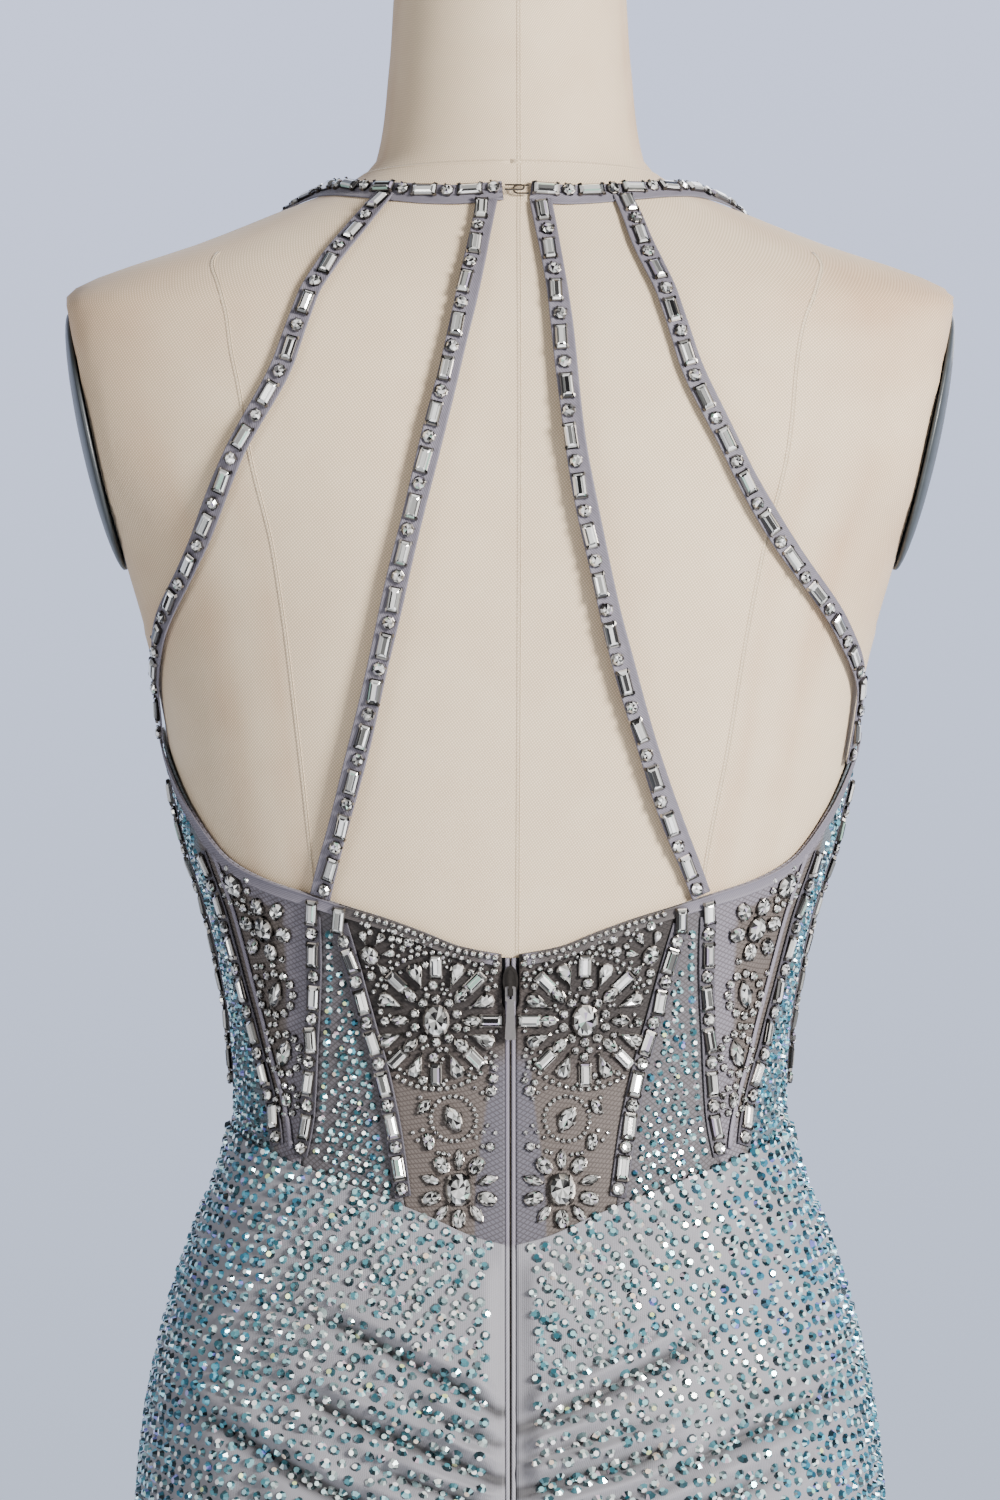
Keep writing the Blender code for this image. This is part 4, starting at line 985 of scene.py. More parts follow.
def row_stones(top, bottom, first_turn, last_turn, row_gap, stone_gap, seed):
    """Stones in rows that follow the upper edge and settle to the lower one.

    Each row is stepped by distance along the skin, every other row is set half a step on, and
    every stone is moved a little by chance. Returns turns and heights.
    """
    chance = np.random.default_rng(seed)
    samples = np.linspace(first_turn, last_turn, 240)
    fall = float(np.mean(top(samples) - bottom(samples)))
    rows = max(2, int(fall / row_gap))
    turns, heights = [], []
    for row in range(rows):
        share = (row + 0.55) / rows
        level = top(samples) + (bottom(samples) - top(samples)) * share
        line = skin_point(samples, level)
        run = np.concatenate([[0.0], np.cumsum(np.linalg.norm(np.diff(line, axis=0), axis=1))])
        count = int((run[-1] - 0.4 * stone_gap) / stone_gap)
        steps = (np.arange(count) + 0.5 + 0.5 * (row % 2)) * stone_gap
        steps = steps + chance.normal(0, 0.13 * stone_gap, count)
        steps = steps[(steps > 0.3 * stone_gap) & (steps < run[-1] - 0.3 * stone_gap)]
        turns.append(np.interp(steps, run, samples))
        heights.append(np.interp(steps, run, level) + chance.normal(0, 0.09 * row_gap, len(steps)))
    return np.concatenate(turns), np.concatenate(heights)


def joined_rhinestones(name, turn, height, lift, mood, seed, size_range=(0.0042, 0.0053)):
    """One mesh of flat-backed stones on a cloth, each tilted by its cloth.

    The mood of a place is 0 where its stones look pale, 0.5 where teal and 1 where blue. Chance
    picks each stone's family by it, then a shade for its table and one for each facet of its rim:
    the coating's hue with painted glints, mostly white, on the table and painted shade on the rim.
    """
    chance = np.random.default_rng(seed)
    centres, along, outward = cloth_frame(turn, height, lift)
    count = len(turn)
    along, aside, outward = tilted(chance, along, outward, 5.0)
    spin = chance.uniform(0, 2 * math.pi, count)[:, None]
    turned = along * np.cos(spin) + aside * np.sin(spin)
    across = np.cross(outward, turned)
    wide = chance.uniform(*size_range, count)
    sizes = np.stack([wide, wide, 0.36 * wide], 1)
    shape, faces = rhinestone_shape()
    points, corners, counts = placed_shapes(shape, faces, centres, turned, across, outward, sizes)
    per = len(faces)
    family = (np.clip(mood, 0, 1) * 2 + chance.uniform(-0.55, 0.55, count))[:, None]

    def by_family(shades, shares, number):
        pale, teal, blue = (picked(chance, shades[key], shares, number) for key in ("pale", "teal", "blue"))
        each = np.repeat(family, number // count, axis=0)
        return np.where(each < 0.5, pale, np.where(each > 1.5, blue, teal)).reshape(count, -1, 3)

    # painted shade on the rim facets and painted glints on the table, in the coating's hues
    tint = by_family(RIM_HUES_AND_PAINTED_SHADE, RIM_SHARES, count * per)
    tint[:, 1] = by_family(TABLE_HUES_AND_PAINTED_GLINTS, TABLE_SHARES, count)[:, 0]
    tint = tint.reshape(-1, 3)
    obj = mesh_object(
        name, points, corners, counts, [shared_material("coated_rhinestone")], smooth=False,
        tint=np.repeat(tint, counts, axis=0))
    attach(obj, DRESS_BODY)
    return obj


def plain_tint(shape, text, spread=0.0, seed=0):
    """The same sRGB colour for a whole grid, a little lighter and darker by chance."""
    base = np.broadcast_to(srgb(text), (*shape, 3)).copy()
    if spread:
        base = base + np.random.default_rng(seed).normal(0, spread, (*shape, 1))
    return np.clip(base, 0, 1)


def colour_hex(value):
    """Hex text of a linear colour property, for the tints kept as sRGB."""
    value = np.array(value[:3])
    coded = np.where(value <= 0.0031308, value * 12.92, 1.055 * np.maximum(value, 0.0) ** (1 / 2.4) - 0.055)
    return "#" + "".join(f"{int(round(255 * v)):02X}" for v in coded)


# Properties that a user would change

class PromDressSizes(bpy.types.PropertyGroup):
    row_gap: FloatProperty(
        name="Row gap", description="Distance between two rows of small stones", default=0.0047, min=0.003,
        max=0.02, unit="LENGTH")
    stone_gap: FloatProperty(
        name="Stone gap", description="Distance between two small stones of a row", default=0.0062,
        min=0.003,
        max=0.02, unit="LENGTH")
    stone_shift: FloatProperty(
        name="Stone shift", description="How far the large stones sit off the middle of their ribbon",
        default=0.0017, min=0.0, max=0.0025, unit="LENGTH")
    stone_height: FloatProperty(
        name="Stone height", description="Height of a large stone with its cup", default=0.0030, min=0.001,
        max=0.005, unit="LENGTH")


class PromDressColours(bpy.types.PropertyGroup):
    canvas: FloatVectorProperty(
        name="Canvas", description="Cotton canvas of the dress form", subtype="COLOR", size=3,
        default=linear("#F2E0C5")[:3], min=0.0, max=1.0)
    jersey: FloatVectorProperty(
        name="Jersey", description="Knit jersey under the small stones", subtype="COLOR", size=3,
        default=linear("#86858B")[:3], min=0.0, max=1.0)
    tulle: FloatVectorProperty(
        name="Tulle", description="Folded tulle of straps, strips and bindings", subtype="COLOR", size=3,
        default=linear("#716D77")[:3], min=0.0, max=1.0)
    net: FloatVectorProperty(
        name="Net", description="Nude net of the back panels", subtype="COLOR", size=3,
        default=linear("#5A524E")[:3], min=0.0, max=1.0)


class PromDressStage(bpy.types.PropertyGroup):
    key_power: FloatProperty(
        name="Key light", description="Power of the large soft light on the right", default=290.0, min=0.0,
        unit="POWER")
    fill_power: FloatProperty(
        name="Fill light", description="Power of the soft light on the left", default=36.0, min=0.0,
        unit="POWER")
    surround: FloatProperty(
        name="Surround", description="Strength of the pale light from all round", default=1.46, min=0.0)


# The dress form and its stand

def form_tint(turn, height, base):
    """Canvas colour with old tan stains by the armholes, the shoulders and down the sides."""
    folded = np.abs((turn + 180) % 360 - 180)
    stain = srgb("#CDA988")
    edge = np.exp(-((folded - 84) / 16) ** 2) * ease(height, 1.20, 1.26)
    shoulder = 0.8 * np.exp(-((height - 1.385) / 0.020) ** 2) * ease(folded, 40, 66)
    streak = 0.45 * np.exp(-((folded - 66 - 25 * (height - 1.3)) / 3.5) ** 2) * ease(height, 1.16, 1.22)
    left, right = (
        smooth_value(height, PRINCESS_HEIGHTS[::-1], PRINCESS_TURNS[word][::-1])
        for word in ("left", "right"))
    seam = np.where((turn + 180) % 360 > 180, right, left)
    beside = 0.75 * np.exp(-((folded - seam - 3.0) / 1.9) ** 2) + 0.5 * np.exp(
        -((folded - seam - 13.0) / 2.4) ** 2)
    beside = beside * ease(height, 1.34, 1.30)
    spots = 0.5 + 0.5 * np.clip(waver(turn, height, (0.035, 0.06, 0.11), 3), -1, 1)
    amount = (0.50 * edge + 0.40 * shoulder + streak * 0.5) * (0.35 + 0.65 * spots) + 0.42 * beside * (
        0.5 + 0.5 * spots)
    amount = np.clip(amount, 0, 0.62)
    return base + (stain - base) * amount[..., None]


def add_torso(base):
    """Torso and neck: rings of the figure's surface, closed by a low dome on the neck."""
    rows, columns = 160, 152
    heights = np.concatenate([[FORM_BOTTOM], np.linspace(FORM_BOTTOM + 0.004, FORM_TOP, rows)])
    turns = np.linspace(0, 360, columns, endpoint=False)
    turn, height = np.meshgrid(turns, heights)
    rings = body_point(turn, height, -0.0001)
    rings[0] = rings[0] * (0.975, 0.975, 1.0)
    share = np.array([0.90, 0.70, 0.40, 0.15])
    dome = []
    for part in share:
        ring = rings[-1] * (part, part, 1.0)
        ring[:, 2] = FORM_TOP - 0.0006 * (1 - part)
        dome.append(ring)
    rings = np.concatenate([rings, np.array(dome)])
    lengths = 0.5 * (body_radius(turn, height) + 0.12) * np.radians((turn + 180) % 360 - 180)
    u = np.concatenate([lengths, np.repeat(lengths[-1:], len(share), axis=0)])
    v = np.concatenate([height, np.repeat(height[-1:], len(share), axis=0)])
    tint = form_tint(turn, height, base)
    tint = np.concatenate([tint, np.repeat(tint[-1:], len(share), axis=0)])
    torso = closed_tube(
        "form_canvas_torso", rings, [shared_material("cotton_canvas")], tint=tint, uv=np.stack([u, v], -1))
    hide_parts("form_torso")
    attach(torso, DRESS_BODY)


def carried(turns, heights, lifts, profile, spacing, wobble=0.0, seed=0, lean=0.0):
    """A closed profile carried along a route: rings of points at even stations.

    The profile is distances across and out; the wobble moves whole rings a little out and aside.
    """
    length = route_points(turns, heights, lifts)
    stations = np.linspace(0, length, max(3, int(length / spacing) + 1))
    centre, outward, aside = route_points(turns, heights, lifts, stations, lean)
    profile = np.asarray(profile, float)
    across = np.repeat(profile[None, :, 0], len(stations), axis=0)
    out = np.repeat(profile[None, :, 1], len(stations), axis=0)
    if wobble:
        phase = np.random.default_rng(seed).uniform(0, 6, 3)
        wave = np.sin(stations / 0.017 + phase[0]) + 0.6 * np.sin(stations / 0.0073 + phase[1])
        across = across * (1 + wobble * 60 * np.sin(stations / 0.011 + phase[2])[:, None])
        out = out * (1 + 0.25 * wave[:, None])
    rings = centre[:, None] + aside[:, None] * across[..., None] + outward[:, None] * out[..., None]
    return rings, length


def add_form_seams(base):
    """Sewn seams of the canvas: two low rolls with a fine groove between them."""
    half, roll, groove = 0.0011, 0.00013, 0.00016
    profile = [
        (-half, -0.0002), (-half * 0.5, -0.0002), (half * 0.5, -0.0002), (half, -0.0002),
        (half * 0.9, roll * 0.4),
        (half * 0.75, roll * 0.6), (half * 0.5 + groove, roll * 0.6), (half * 0.5, -0.0002),
        (half * 0.5 - groove, roll * 0.8), (-half * 0.2, roll), (-half * 0.7, roll * 0.8)]
    routes = {"form_seam_centre": CENTRE_SEAM}
    for word, side in SIDES:
        routes["form_seam_princess_" + word] = ([side * t for t in PRINCESS_TURNS[word]], PRINCESS_HEIGHTS)
        fronts = [180 - side * t for t in (34.0, 38.0, 37.0, 34.0, 30.0)]
        routes["form_seam_front_" + word] = (fronts, (1.425, 1.36, 1.25, 1.15, 1.05))
    routes["form_seam_centre_front"] = ((180.0,) * len(CENTRE_SEAM[1]), CENTRE_SEAM[1])
    ring = np.linspace(0, 360, 73)
    routes["form_seam_neck"] = (ring, np.full(73, NECK_SEAM_HEIGHT))
    for name, (turns, heights) in routes.items():
        rings, _ = carried(turns, heights, np.zeros(len(turns)), profile, 0.004)
        tint = plain_tint(rings.shape[:2], "#000000")
        shade = np.ones(len(profile))
        # painted shade: the groove's walls and bottom darker than the canvas
        shade[[6, 7, 8]] = (0.90, 0.55, 0.86)
        tint = base[None, None, :] * shade[None, :, None] + 0 * tint
        seam = closed_tube(name, rings, [shared_material("cotton_canvas")], tint=tint)
        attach(seam, DRESS_BODY)


def add_arm_plates():
    """Plates of the armholes: shallow oval domes with a thin rim, flat towards the form.

    The ring at a share s of the outline stands out by the dome's height times (1 - s^2)^0.6.
    """
    angle = np.linspace(0, 2 * math.pi, 72, endpoint=False)[:, None]
    share = np.array([1.0, 1.0, 0.995, 0.98, 0.94, 0.87, 0.77, 0.63, 0.45, 0.25, 0.08])
    out = PLATE_RIM + PLATE_DOME * (1 - share ** 2) ** 0.6
    out[0] = SEAM_GAP
    lean = math.atan(ARMHOLE_LEAN)
    for word, side in SIDES:
        up = np.array([side * math.sin(lean), 0.0, math.cos(lean)])
        outward = np.array([side * math.cos(lean), 0.0, -math.sin(lean)])
        oval = PLATE_HEIGHT / 2 * np.cos(angle) * up + PLATE_DEPTH / 2 * np.sin(angle) * (0, 1, 0)
        middle = ARMHOLE_HALF_WIDTH - ARMHOLE_LEAN * (ARMHOLE_TOP - PLATE_MIDDLE)
        centre = np.array([side * middle, -PLATE_SETBACK, PLATE_MIDDLE])
        rings = centre + share[:, None, None] * oval + out[:, None, None] * outward
        plate = closed_tube("arm_plate_enamel_" + word, rings, [shared_material("satin_enamel_plate")])
        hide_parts("arm_plate_" + word)
        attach(plate, DRESS_BODY)


class PROMDRESS_OT_form(bpy.types.Operator):
    """Builds the canvas torso with its seams, the armhole plates and the stand's finish"""
    bl_idname = "prom_dress.form"
    bl_label = "Dress form"

    def execute(self, context):
        base = srgb(colour_hex(context.scene.prom_colours.canvas))
        add_torso(base)
        add_form_seams(base)
        add_arm_plates()
        for name in ("stand_pole", "stand_base"):
            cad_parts[name].data.materials.clear()
            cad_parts[name].data.materials.append(shared_material("brushed_steel"))
        return {"FINISHED"}


# The skirt

def add_skirt_back(word, side, colours, sizes):
    """One half of the skirt's back: a grid of turns and heights lifted by the creases."""
    rows, columns = 310, 100
    down = np.interp(np.linspace(0, 1, rows), (0.0, 0.72, 1.0), (0.0, 0.36, 1.0))[:, None]
    along = np.linspace(0, 1, columns)[None, :]
    height = np.full((rows, columns), 0.8)
    for _ in range(6):
        edge = np.where(height > ZIP_FOOT, ZIP_EDGE, SEAM_GAP / 2)
        start = turn_at(edge, height)
        turn = start + (SIDE_TURN - HALF_GAP_TURN - start) * along
        top = waist_seam(turn) + LAP
        height = top + (HEM_HEIGHT - top) * down
    lift = skirt_folds(side * turn, height)
    inner = body_point(side * turn, height, SKIRT_INSIDE + lift)
    outer = body_point(side * turn, height, SKIRT_INSIDE + SKIRT_WALL + lift)
    base = srgb(colour_hex(colours.jersey))
    creases = CREASES_RIGHT if side > 0 else CREASES_LEFT
    # painted shade: the jersey darker down in the creases, by their depth
    painted_crease_shade = np.clip(-crease_field(turn, height, creases) / 0.0040, 0, 1) ** 1.2
    tint = base * (1 - 0.45 * painted_crease_shade[..., None])
    skirt = cloth_wall(
        "skirt_back_cloth_" + word, inner, outer, [shared_material("knit_jersey")], tint=tint)
    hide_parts("skirt_back_" + word)
    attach(skirt, DRESS_BODY)

    def edge_top(turns):
        return waist_seam(turns) + 0.0008 + 0.0022 * ease(turns, 20.0, 26.0)

    def edge_bottom(turns):
        return np.full(np.shape(turns), HEM_HEIGHT + 0.003)

    def stone_lift(turns, heights):
        return SKIRT_INSIDE + SKIRT_WALL + skirt_folds(turns, heights) - 0.0001

    turns, heights = row_stones(
        edge_top, edge_bottom, 4.2, SIDE_TURN - 0.6, sizes.row_gap, sizes.stone_gap, 21 + side)
    heights = heights + 0.0012 * waver(turns, heights, (0.03, 0.05, 0.09), 31 + side)
    heights = gathered(turns, heights, creases)
    low = np.clip(heights, HEM_HEIGHT + 0.002, waist_seam(turns) + 0.0006)
    near = low > HEM_HEIGHT
    turns, heights = turns[near], low[near]
    # bluer towards the side, where the stones are seen at a slant: a painted reflection of the coating; the
    # chance part is the stones' own mix of hues
    mood = 0.32 + 0.75 * ease(turns, 34.0, 80.0) + 0.22 * waver(turns, heights, (0.05, 0.08), 44 + side)
    if side > 0:
        mood = mood - 0.35 * np.exp(-((turns - 17) / 9) ** 2 - ((heights - 0.955) / 0.016) ** 2)
    joined_rhinestones(
        "skirt_back_stones_" + word, side * turns, heights, stone_lift, mood, 51 + side)


def add_skirt_front(colours, sizes):
    """Plain front of the skirt with a few soft drapes that dip at the centre front."""
    rows, columns = 84, 90

    def drape(turns, heights):
        folded = 180 - np.abs(turns - 180)
        down = (waist_seam(folded) - heights) / (waist_seam(folded) - HEM_HEIGHT)
        dip = 0.012 * np.sin(np.pi * np.clip(down, 0, 1)) * np.cos(np.radians(folded - 180))
        wave = 0.5 - 0.5 * np.cos(2 * math.pi * 7 * (down - dip / 0.4))
        lift = 0.0012 * wave * np.sin(np.radians(np.clip(folded - SIDE_TURN, 0, 90)))
        return lift + LAP_LIFT * ease(heights, waist_seam(folded) - 0.010, waist_seam(folded) - 0.002)

    down = np.linspace(0, 1, rows)[:, None]
    turn = np.linspace(SIDE_TURN, 360 - SIDE_TURN, columns)[None, :] + 0 * down
    top = waist_seam(180 - np.abs(turn - 180)) + LAP
    height = top + (HEM_HEIGHT - top) * down
    lift = drape(turn, height)
    inner = body_point(turn, height, SKIRT_INSIDE + lift)
    outer = body_point(turn, height, SKIRT_INSIDE + SKIRT_WALL + lift)
    tint = plain_tint(turn.shape, colour_hex(colours.jersey))
    skirt = cloth_wall("skirt_front_cloth", inner, outer, [shared_material("knit_jersey")], tint=tint)
    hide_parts("skirt_front")
    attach(skirt, DRESS_BODY)
    turns, heights = row_stones(
        lambda t: waist_seam(180 - np.abs(t - 180)) - 0.002,
        lambda t: np.full(np.shape(t), HEM_HEIGHT + 0.003),
        SIDE_TURN + 0.6, 360 - SIDE_TURN - 0.6, sizes.row_gap, sizes.stone_gap, 71)
    heights = np.clip(heights + 0.0010 * waver(turns, heights, (0.03, 0.06), 72), HEM_HEIGHT + 0.002, 1.02)
    # bluer towards the sides, where the stones are seen at a slant: a painted reflection of the coating;
    # the chance part is the stones' own mix of hues
    mood = 0.30 + 0.75 * ease(np.abs(turns - 180), 40.0, 88.0) + 0.2 * waver(
        turns, heights, (0.05, 0.08), 45)

    def stone_lift(turns, heights):
        return SKIRT_INSIDE + SKIRT_WALL + drape(turns, heights) - 0.0001

    joined_rhinestones("skirt_front_stones", turns, heights, stone_lift, mood, 73)


class PROMDRESS_OT_skirt(bpy.types.Operator):
    """Builds the ruched back halves and the front of the skirt with their small stones"""
    bl_idname = "prom_dress.skirt"
    bl_label = "Skirt"

    def execute(self, context):
        colours, sizes = context.scene.prom_colours, context.scene.prom_sizes
        add_skirt_back("left", -1, colours, sizes)
        add_skirt_back("right", 1, colours, sizes)
        add_skirt_front(colours, sizes)
        return {"FINISHED"}


# The bodice

def net_tint(side_turn, height, colours):
    """Net colour: dark at the top, nude lower down, and lilac where it is doubled by the zip."""
    nude = srgb(colour_hex(colours.net))
    dark = srgb("#272120")
    lilac = srgb("#57555F")
    across = body_radius(side_turn, height) * np.sin(np.radians(side_turn))
    depth = ease(height, 1.046, 1.080)
    depth = depth * (0.55 + 0.45 * ease(across, 0.004, 0.014))
    tint = nude + (dark - nude) * depth[..., None]
    reach = 0.0085 + 0.0065 * ease(height, 1.065, 1.00)
    doubled = ease(across, reach + 0.0006, reach - 0.0006) * ease(height, 1.070, 1.058)
    return tint + (lilac - tint) * doubled[..., None]


def side_tint(side_turn, height, colours):
    """Side back colour: a lilac band by the wedge, nude net, then dark net under the small stones."""
    nude = srgb(colour_hex(colours.net))
    lilac = srgb(colour_hex(colours.tulle))
    dark = srgb("#566069")
    seam = upright_seam(height, WEDGE_OUTER_TURNS)
    strip = smooth_value(height, BONING["boning_side"][1][::-1], BONING["boning_side"][0][::-1])
    band = ease(side_turn, seam + 7.2, seam + 6.4)
    band = np.maximum(band, ease(height, back_edge(side_turn) - 0.013, back_edge(side_turn) - 0.011))
    tint = nude + (lilac - nude) * band[..., None]
    outside = ease(side_turn, strip + 0.5, strip + 1.5)
    return tint + (dark - tint) * outside[..., None]


def add_back_panels(colours):
    """Six back panels between their seams, each a curved sheet on the figure."""

    def zip_side(height):
        """The net's edge by the zip, further out beside the slider."""
        return turn_at(ZIP_EDGE + 0.0013 * ease(height, 1.084, 1.088), height)

    panels = (
        ("back_net_", zip_side, lambda h: upright_seam(h, WEDGE_INNER_TURNS) - HALF_GAP_TURN,
         (84, 56), "nylon_net", net_tint, "beaded_net", (0.068, 0.14)),
        ("back_wedge_", lambda h: upright_seam(h, WEDGE_INNER_TURNS) + HALF_GAP_TURN,
         lambda h: upright_seam(h, WEDGE_OUTER_TURNS) - HALF_GAP_TURN, (70, 30), "nylon_net", None,
         "stoned_jersey", (0.045, 0.135)),
        ("back_side_", lambda h: upright_seam(h, WEDGE_OUTER_TURNS) + HALF_GAP_TURN,
         lambda h: SIDE_TURN - HALF_GAP_TURN + 0 * h, (80, 44), "nylon_net", side_tint, "beaded_net",
         (0.072, 0.19)),
    )
    for word, side in SIDES:
        for stem, left, right, size, cloth, tinting, slot, flat in panels:
            turn, height = panel_grid(left, right, back_edge, lambda t: waist_seam(t) + SEAM_GAP, *size)
            inner = body_point(side * turn, height, PANEL_INSIDE)
            outer = body_point(side * turn, height, PANEL_INSIDE + PANEL_WALL)
            if tinting is None:
                tint = plain_tint(turn.shape, "#575459")
            else:
                tint = tinting(turn, height, colours)
            panel = cloth_wall(stem + "cloth_" + word, inner, outer, [shared_material(cloth)], tint=tint)
            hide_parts(stem + word)
            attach(panel, DRESS_BODY)


def panel_lift(turn, height):
    return PANEL_INSIDE + PANEL_WALL - 0.0001 + 0 * turn


def clear_of_strips(turn, height, gap):
    """Which stones stay clear of the boning strips, whose middle lines are turns at heights."""
    keep = np.ones(len(turn), bool)
    for turns, heights in BONING.values():
        line = smooth_value(height, heights[::-1], turns[::-1])
        away = np.abs(turn - line) * math.pi / 180 * body_radius(turn, height)
        beyond = (height > heights[0] + 0.002) | (height < heights[-1] - 0.003)
        keep &= (away > gap) | beyond
    return keep


def add_wedge_stones(sizes):
    """Small stones on the wedges, and on the strip of cloth behind the side boning."""
    row_gap, stone_gap = sizes.row_gap * 0.86, sizes.stone_gap * 0.72
    for word, side in SIDES:
        turns, heights = row_stones(
            lambda t: back_edge(t) - 0.004, lambda t: waist_seam(t) + 0.002, 27.0, 57.0, row_gap, stone_gap,
            81 + side)
        inside = (turns > upright_seam(heights, WEDGE_INNER_TURNS) + 0.8)
        inside &= turns < upright_seam(heights, WEDGE_OUTER_TURNS) - 0.8
        inside &= clear_of_strips(turns, heights, 0.0050)
        more_turns, more_heights = row_stones(
            lambda t: back_edge(t) - 0.008, lambda t: waist_seam(t) + 0.002, 61.0, 91.0, 0.0040, 0.0044,
            91 + side)
        strip = smooth_value(more_heights, BONING["boning_side"][1][::-1], BONING["boning_side"][0][::-1])
        behind = (more_turns > strip + 3.2) & clear_of_strips(more_turns, more_heights, 0.0048)
        column = np.arange(1.0225, 1.117, 0.0047)
        beside = smooth_value(column, *(v[::-1] for v in BONING["boning_wedge_outer"][::-1]))
        beside = beside - np.degrees(0.0062 / body_radius(beside, column))
        inside &= turns < np.interp(heights, column, beside) - np.degrees(0.0034 / 0.1)
        turns = np.concatenate([turns[inside], beside, more_turns[behind]])
        heights = np.concatenate([heights[inside], column, more_heights[behind]])
        # bluer past 60 degrees, towards the side, where the stones are seen at a slant: a painted
        # reflection of the coating
        mood = np.where(turns > 60, 0.95, 0.55)
        joined_rhinestones(
            "back_panel_stones_" + word, side * turns, heights, panel_lift, mood, 101 + side,
            size_range=(0.0031, 0.0042))


def halter_grid(rows, columns):
    """Turns and heights of the halter front, from underarm to underarm and up to the neckband."""
    along = np.linspace(-1, 1, columns)[None, :]
    down = np.linspace(0, 1, rows)[:, None]
    height = np.full((rows, columns), 1.2)
    for _ in range(40):
        half = smooth_value(height, HALTER_HEIGHTS, HALTER_TURNS) - HALF_GAP_TURN
        turn = 180 + half * along
        folded = 180 - np.abs(turn - 180)
        band = smooth_value(folded, NECKBAND_TURNS, NECKBAND_HEIGHTS) - 0.0062
        goal = band + (waist_seam(folded) + SEAM_GAP - band) * down
        height = 0.5 * height + 0.5 * goal
    return turn, height


def halter_ease(turn, height):
    half = smooth_value(height, HALTER_HEIGHTS, HALTER_TURNS) - HALF_GAP_TURN
    inside = half - np.abs(turn - 180)
    return PANEL_INSIDE + FRONT_EASE * np.clip((inside + 2) / 16, 0, 1)


def add_bodice_front(colours, sizes):
    turn, height = halter_grid(90, 72)
    out = halter_ease(turn, height)
    inner = body_point(turn, height, out)
    outer = body_point(turn, height, out + PANEL_WALL)
    tint = plain_tint(turn.shape, colour_hex(colours.jersey))
    front = cloth_wall("bodice_front_cloth", inner, outer, [shared_material("knit_jersey")], tint=tint)
    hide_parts("bodice_front")
    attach(front, DRESS_BODY)
    turns, heights = row_stones(
        lambda t: smooth_value(180 - np.abs(t - 180), NECKBAND_TURNS, NECKBAND_HEIGHTS) - 0.009,
        lambda t: waist_seam(180 - np.abs(t - 180)) + 0.002, 93.0, 267.0, sizes.row_gap, sizes.stone_gap,
        121)
    half = smooth_value(heights, HALTER_HEIGHTS, HALTER_TURNS)
    inside = np.abs(turns - 180) < half - 1.6
    turns, heights = turns[inside], heights[inside]
    # bluer towards the sides, where the stones are seen at a slant: a painted reflection of the coating;
    # the chance part is the stones' own mix of hues
    mood = 0.35 + 0.7 * ease(np.abs(turns - 180), 40.0, 85.0) + 0.2 * waver(
        turns, heights, (0.05, 0.08), 46)
    joined_rhinestones(
        "bodice_front_stones", turns, heights, lambda t, h: halter_ease(t, h) + PANEL_WALL - 0.0001, mood,
        123)


class PROMDRESS_OT_bodice(bpy.types.Operator):
    """Builds the back panels and the halter front with their small stones"""
    bl_idname = "prom_dress.bodice"
    bl_label = "Bodice"

    def execute(self, context):
        colours, sizes = context.scene.prom_colours, context.scene.prom_sizes
        add_back_panels(colours)
        add_wedge_stones(sizes)
        add_bodice_front(colours, sizes)
        return {"FINISHED"}


# Ribbons with their stones

RIBBON_PROFILE = np.array([
    (-4.7, 0.30), (-4.55, 0.08), (-3.8, 0.02), (0.0, 0.0), (3.8, 0.02), (4.55, 0.08), (4.7, 0.30),
    (4.52, 0.62),
    (4.0, 0.70), (3.4, 0.52), (1.8, 0.46), (0.0, 0.45), (-1.8, 0.46), (-3.4, 0.52), (-4.0, 0.70),
    (-4.52, 0.62)]) * MM


def add_ribbon(name, node, turns, heights, lifts, profile, colour, seed, lean=0.0):
    """A soft folded ribbon: its profile carried along its route, with a slight wobble.

    The colour is a hex text, or a function of the ring's turn that gives sRGB colours.
    """
    rings, length = carried(turns, heights, lifts, profile, 0.0028, wobble=0.0006, seed=seed, lean=lean)
    if callable(colour):
        middle = rings.mean(axis=1)
        tint = colour(np.degrees(np.arctan2(np.abs(middle[:, 0]), -middle[:, 1])))[:, None] + 0 * rings
    else:
        tint = plain_tint(rings.shape[:2], colour, 0.012, seed)
    ribbon = closed_tube(name, rings, [shared_material("folded_tulle")], tint=tint)
    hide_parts(node)
    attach(ribbon, DRESS_BODY)
    return ribbon, length


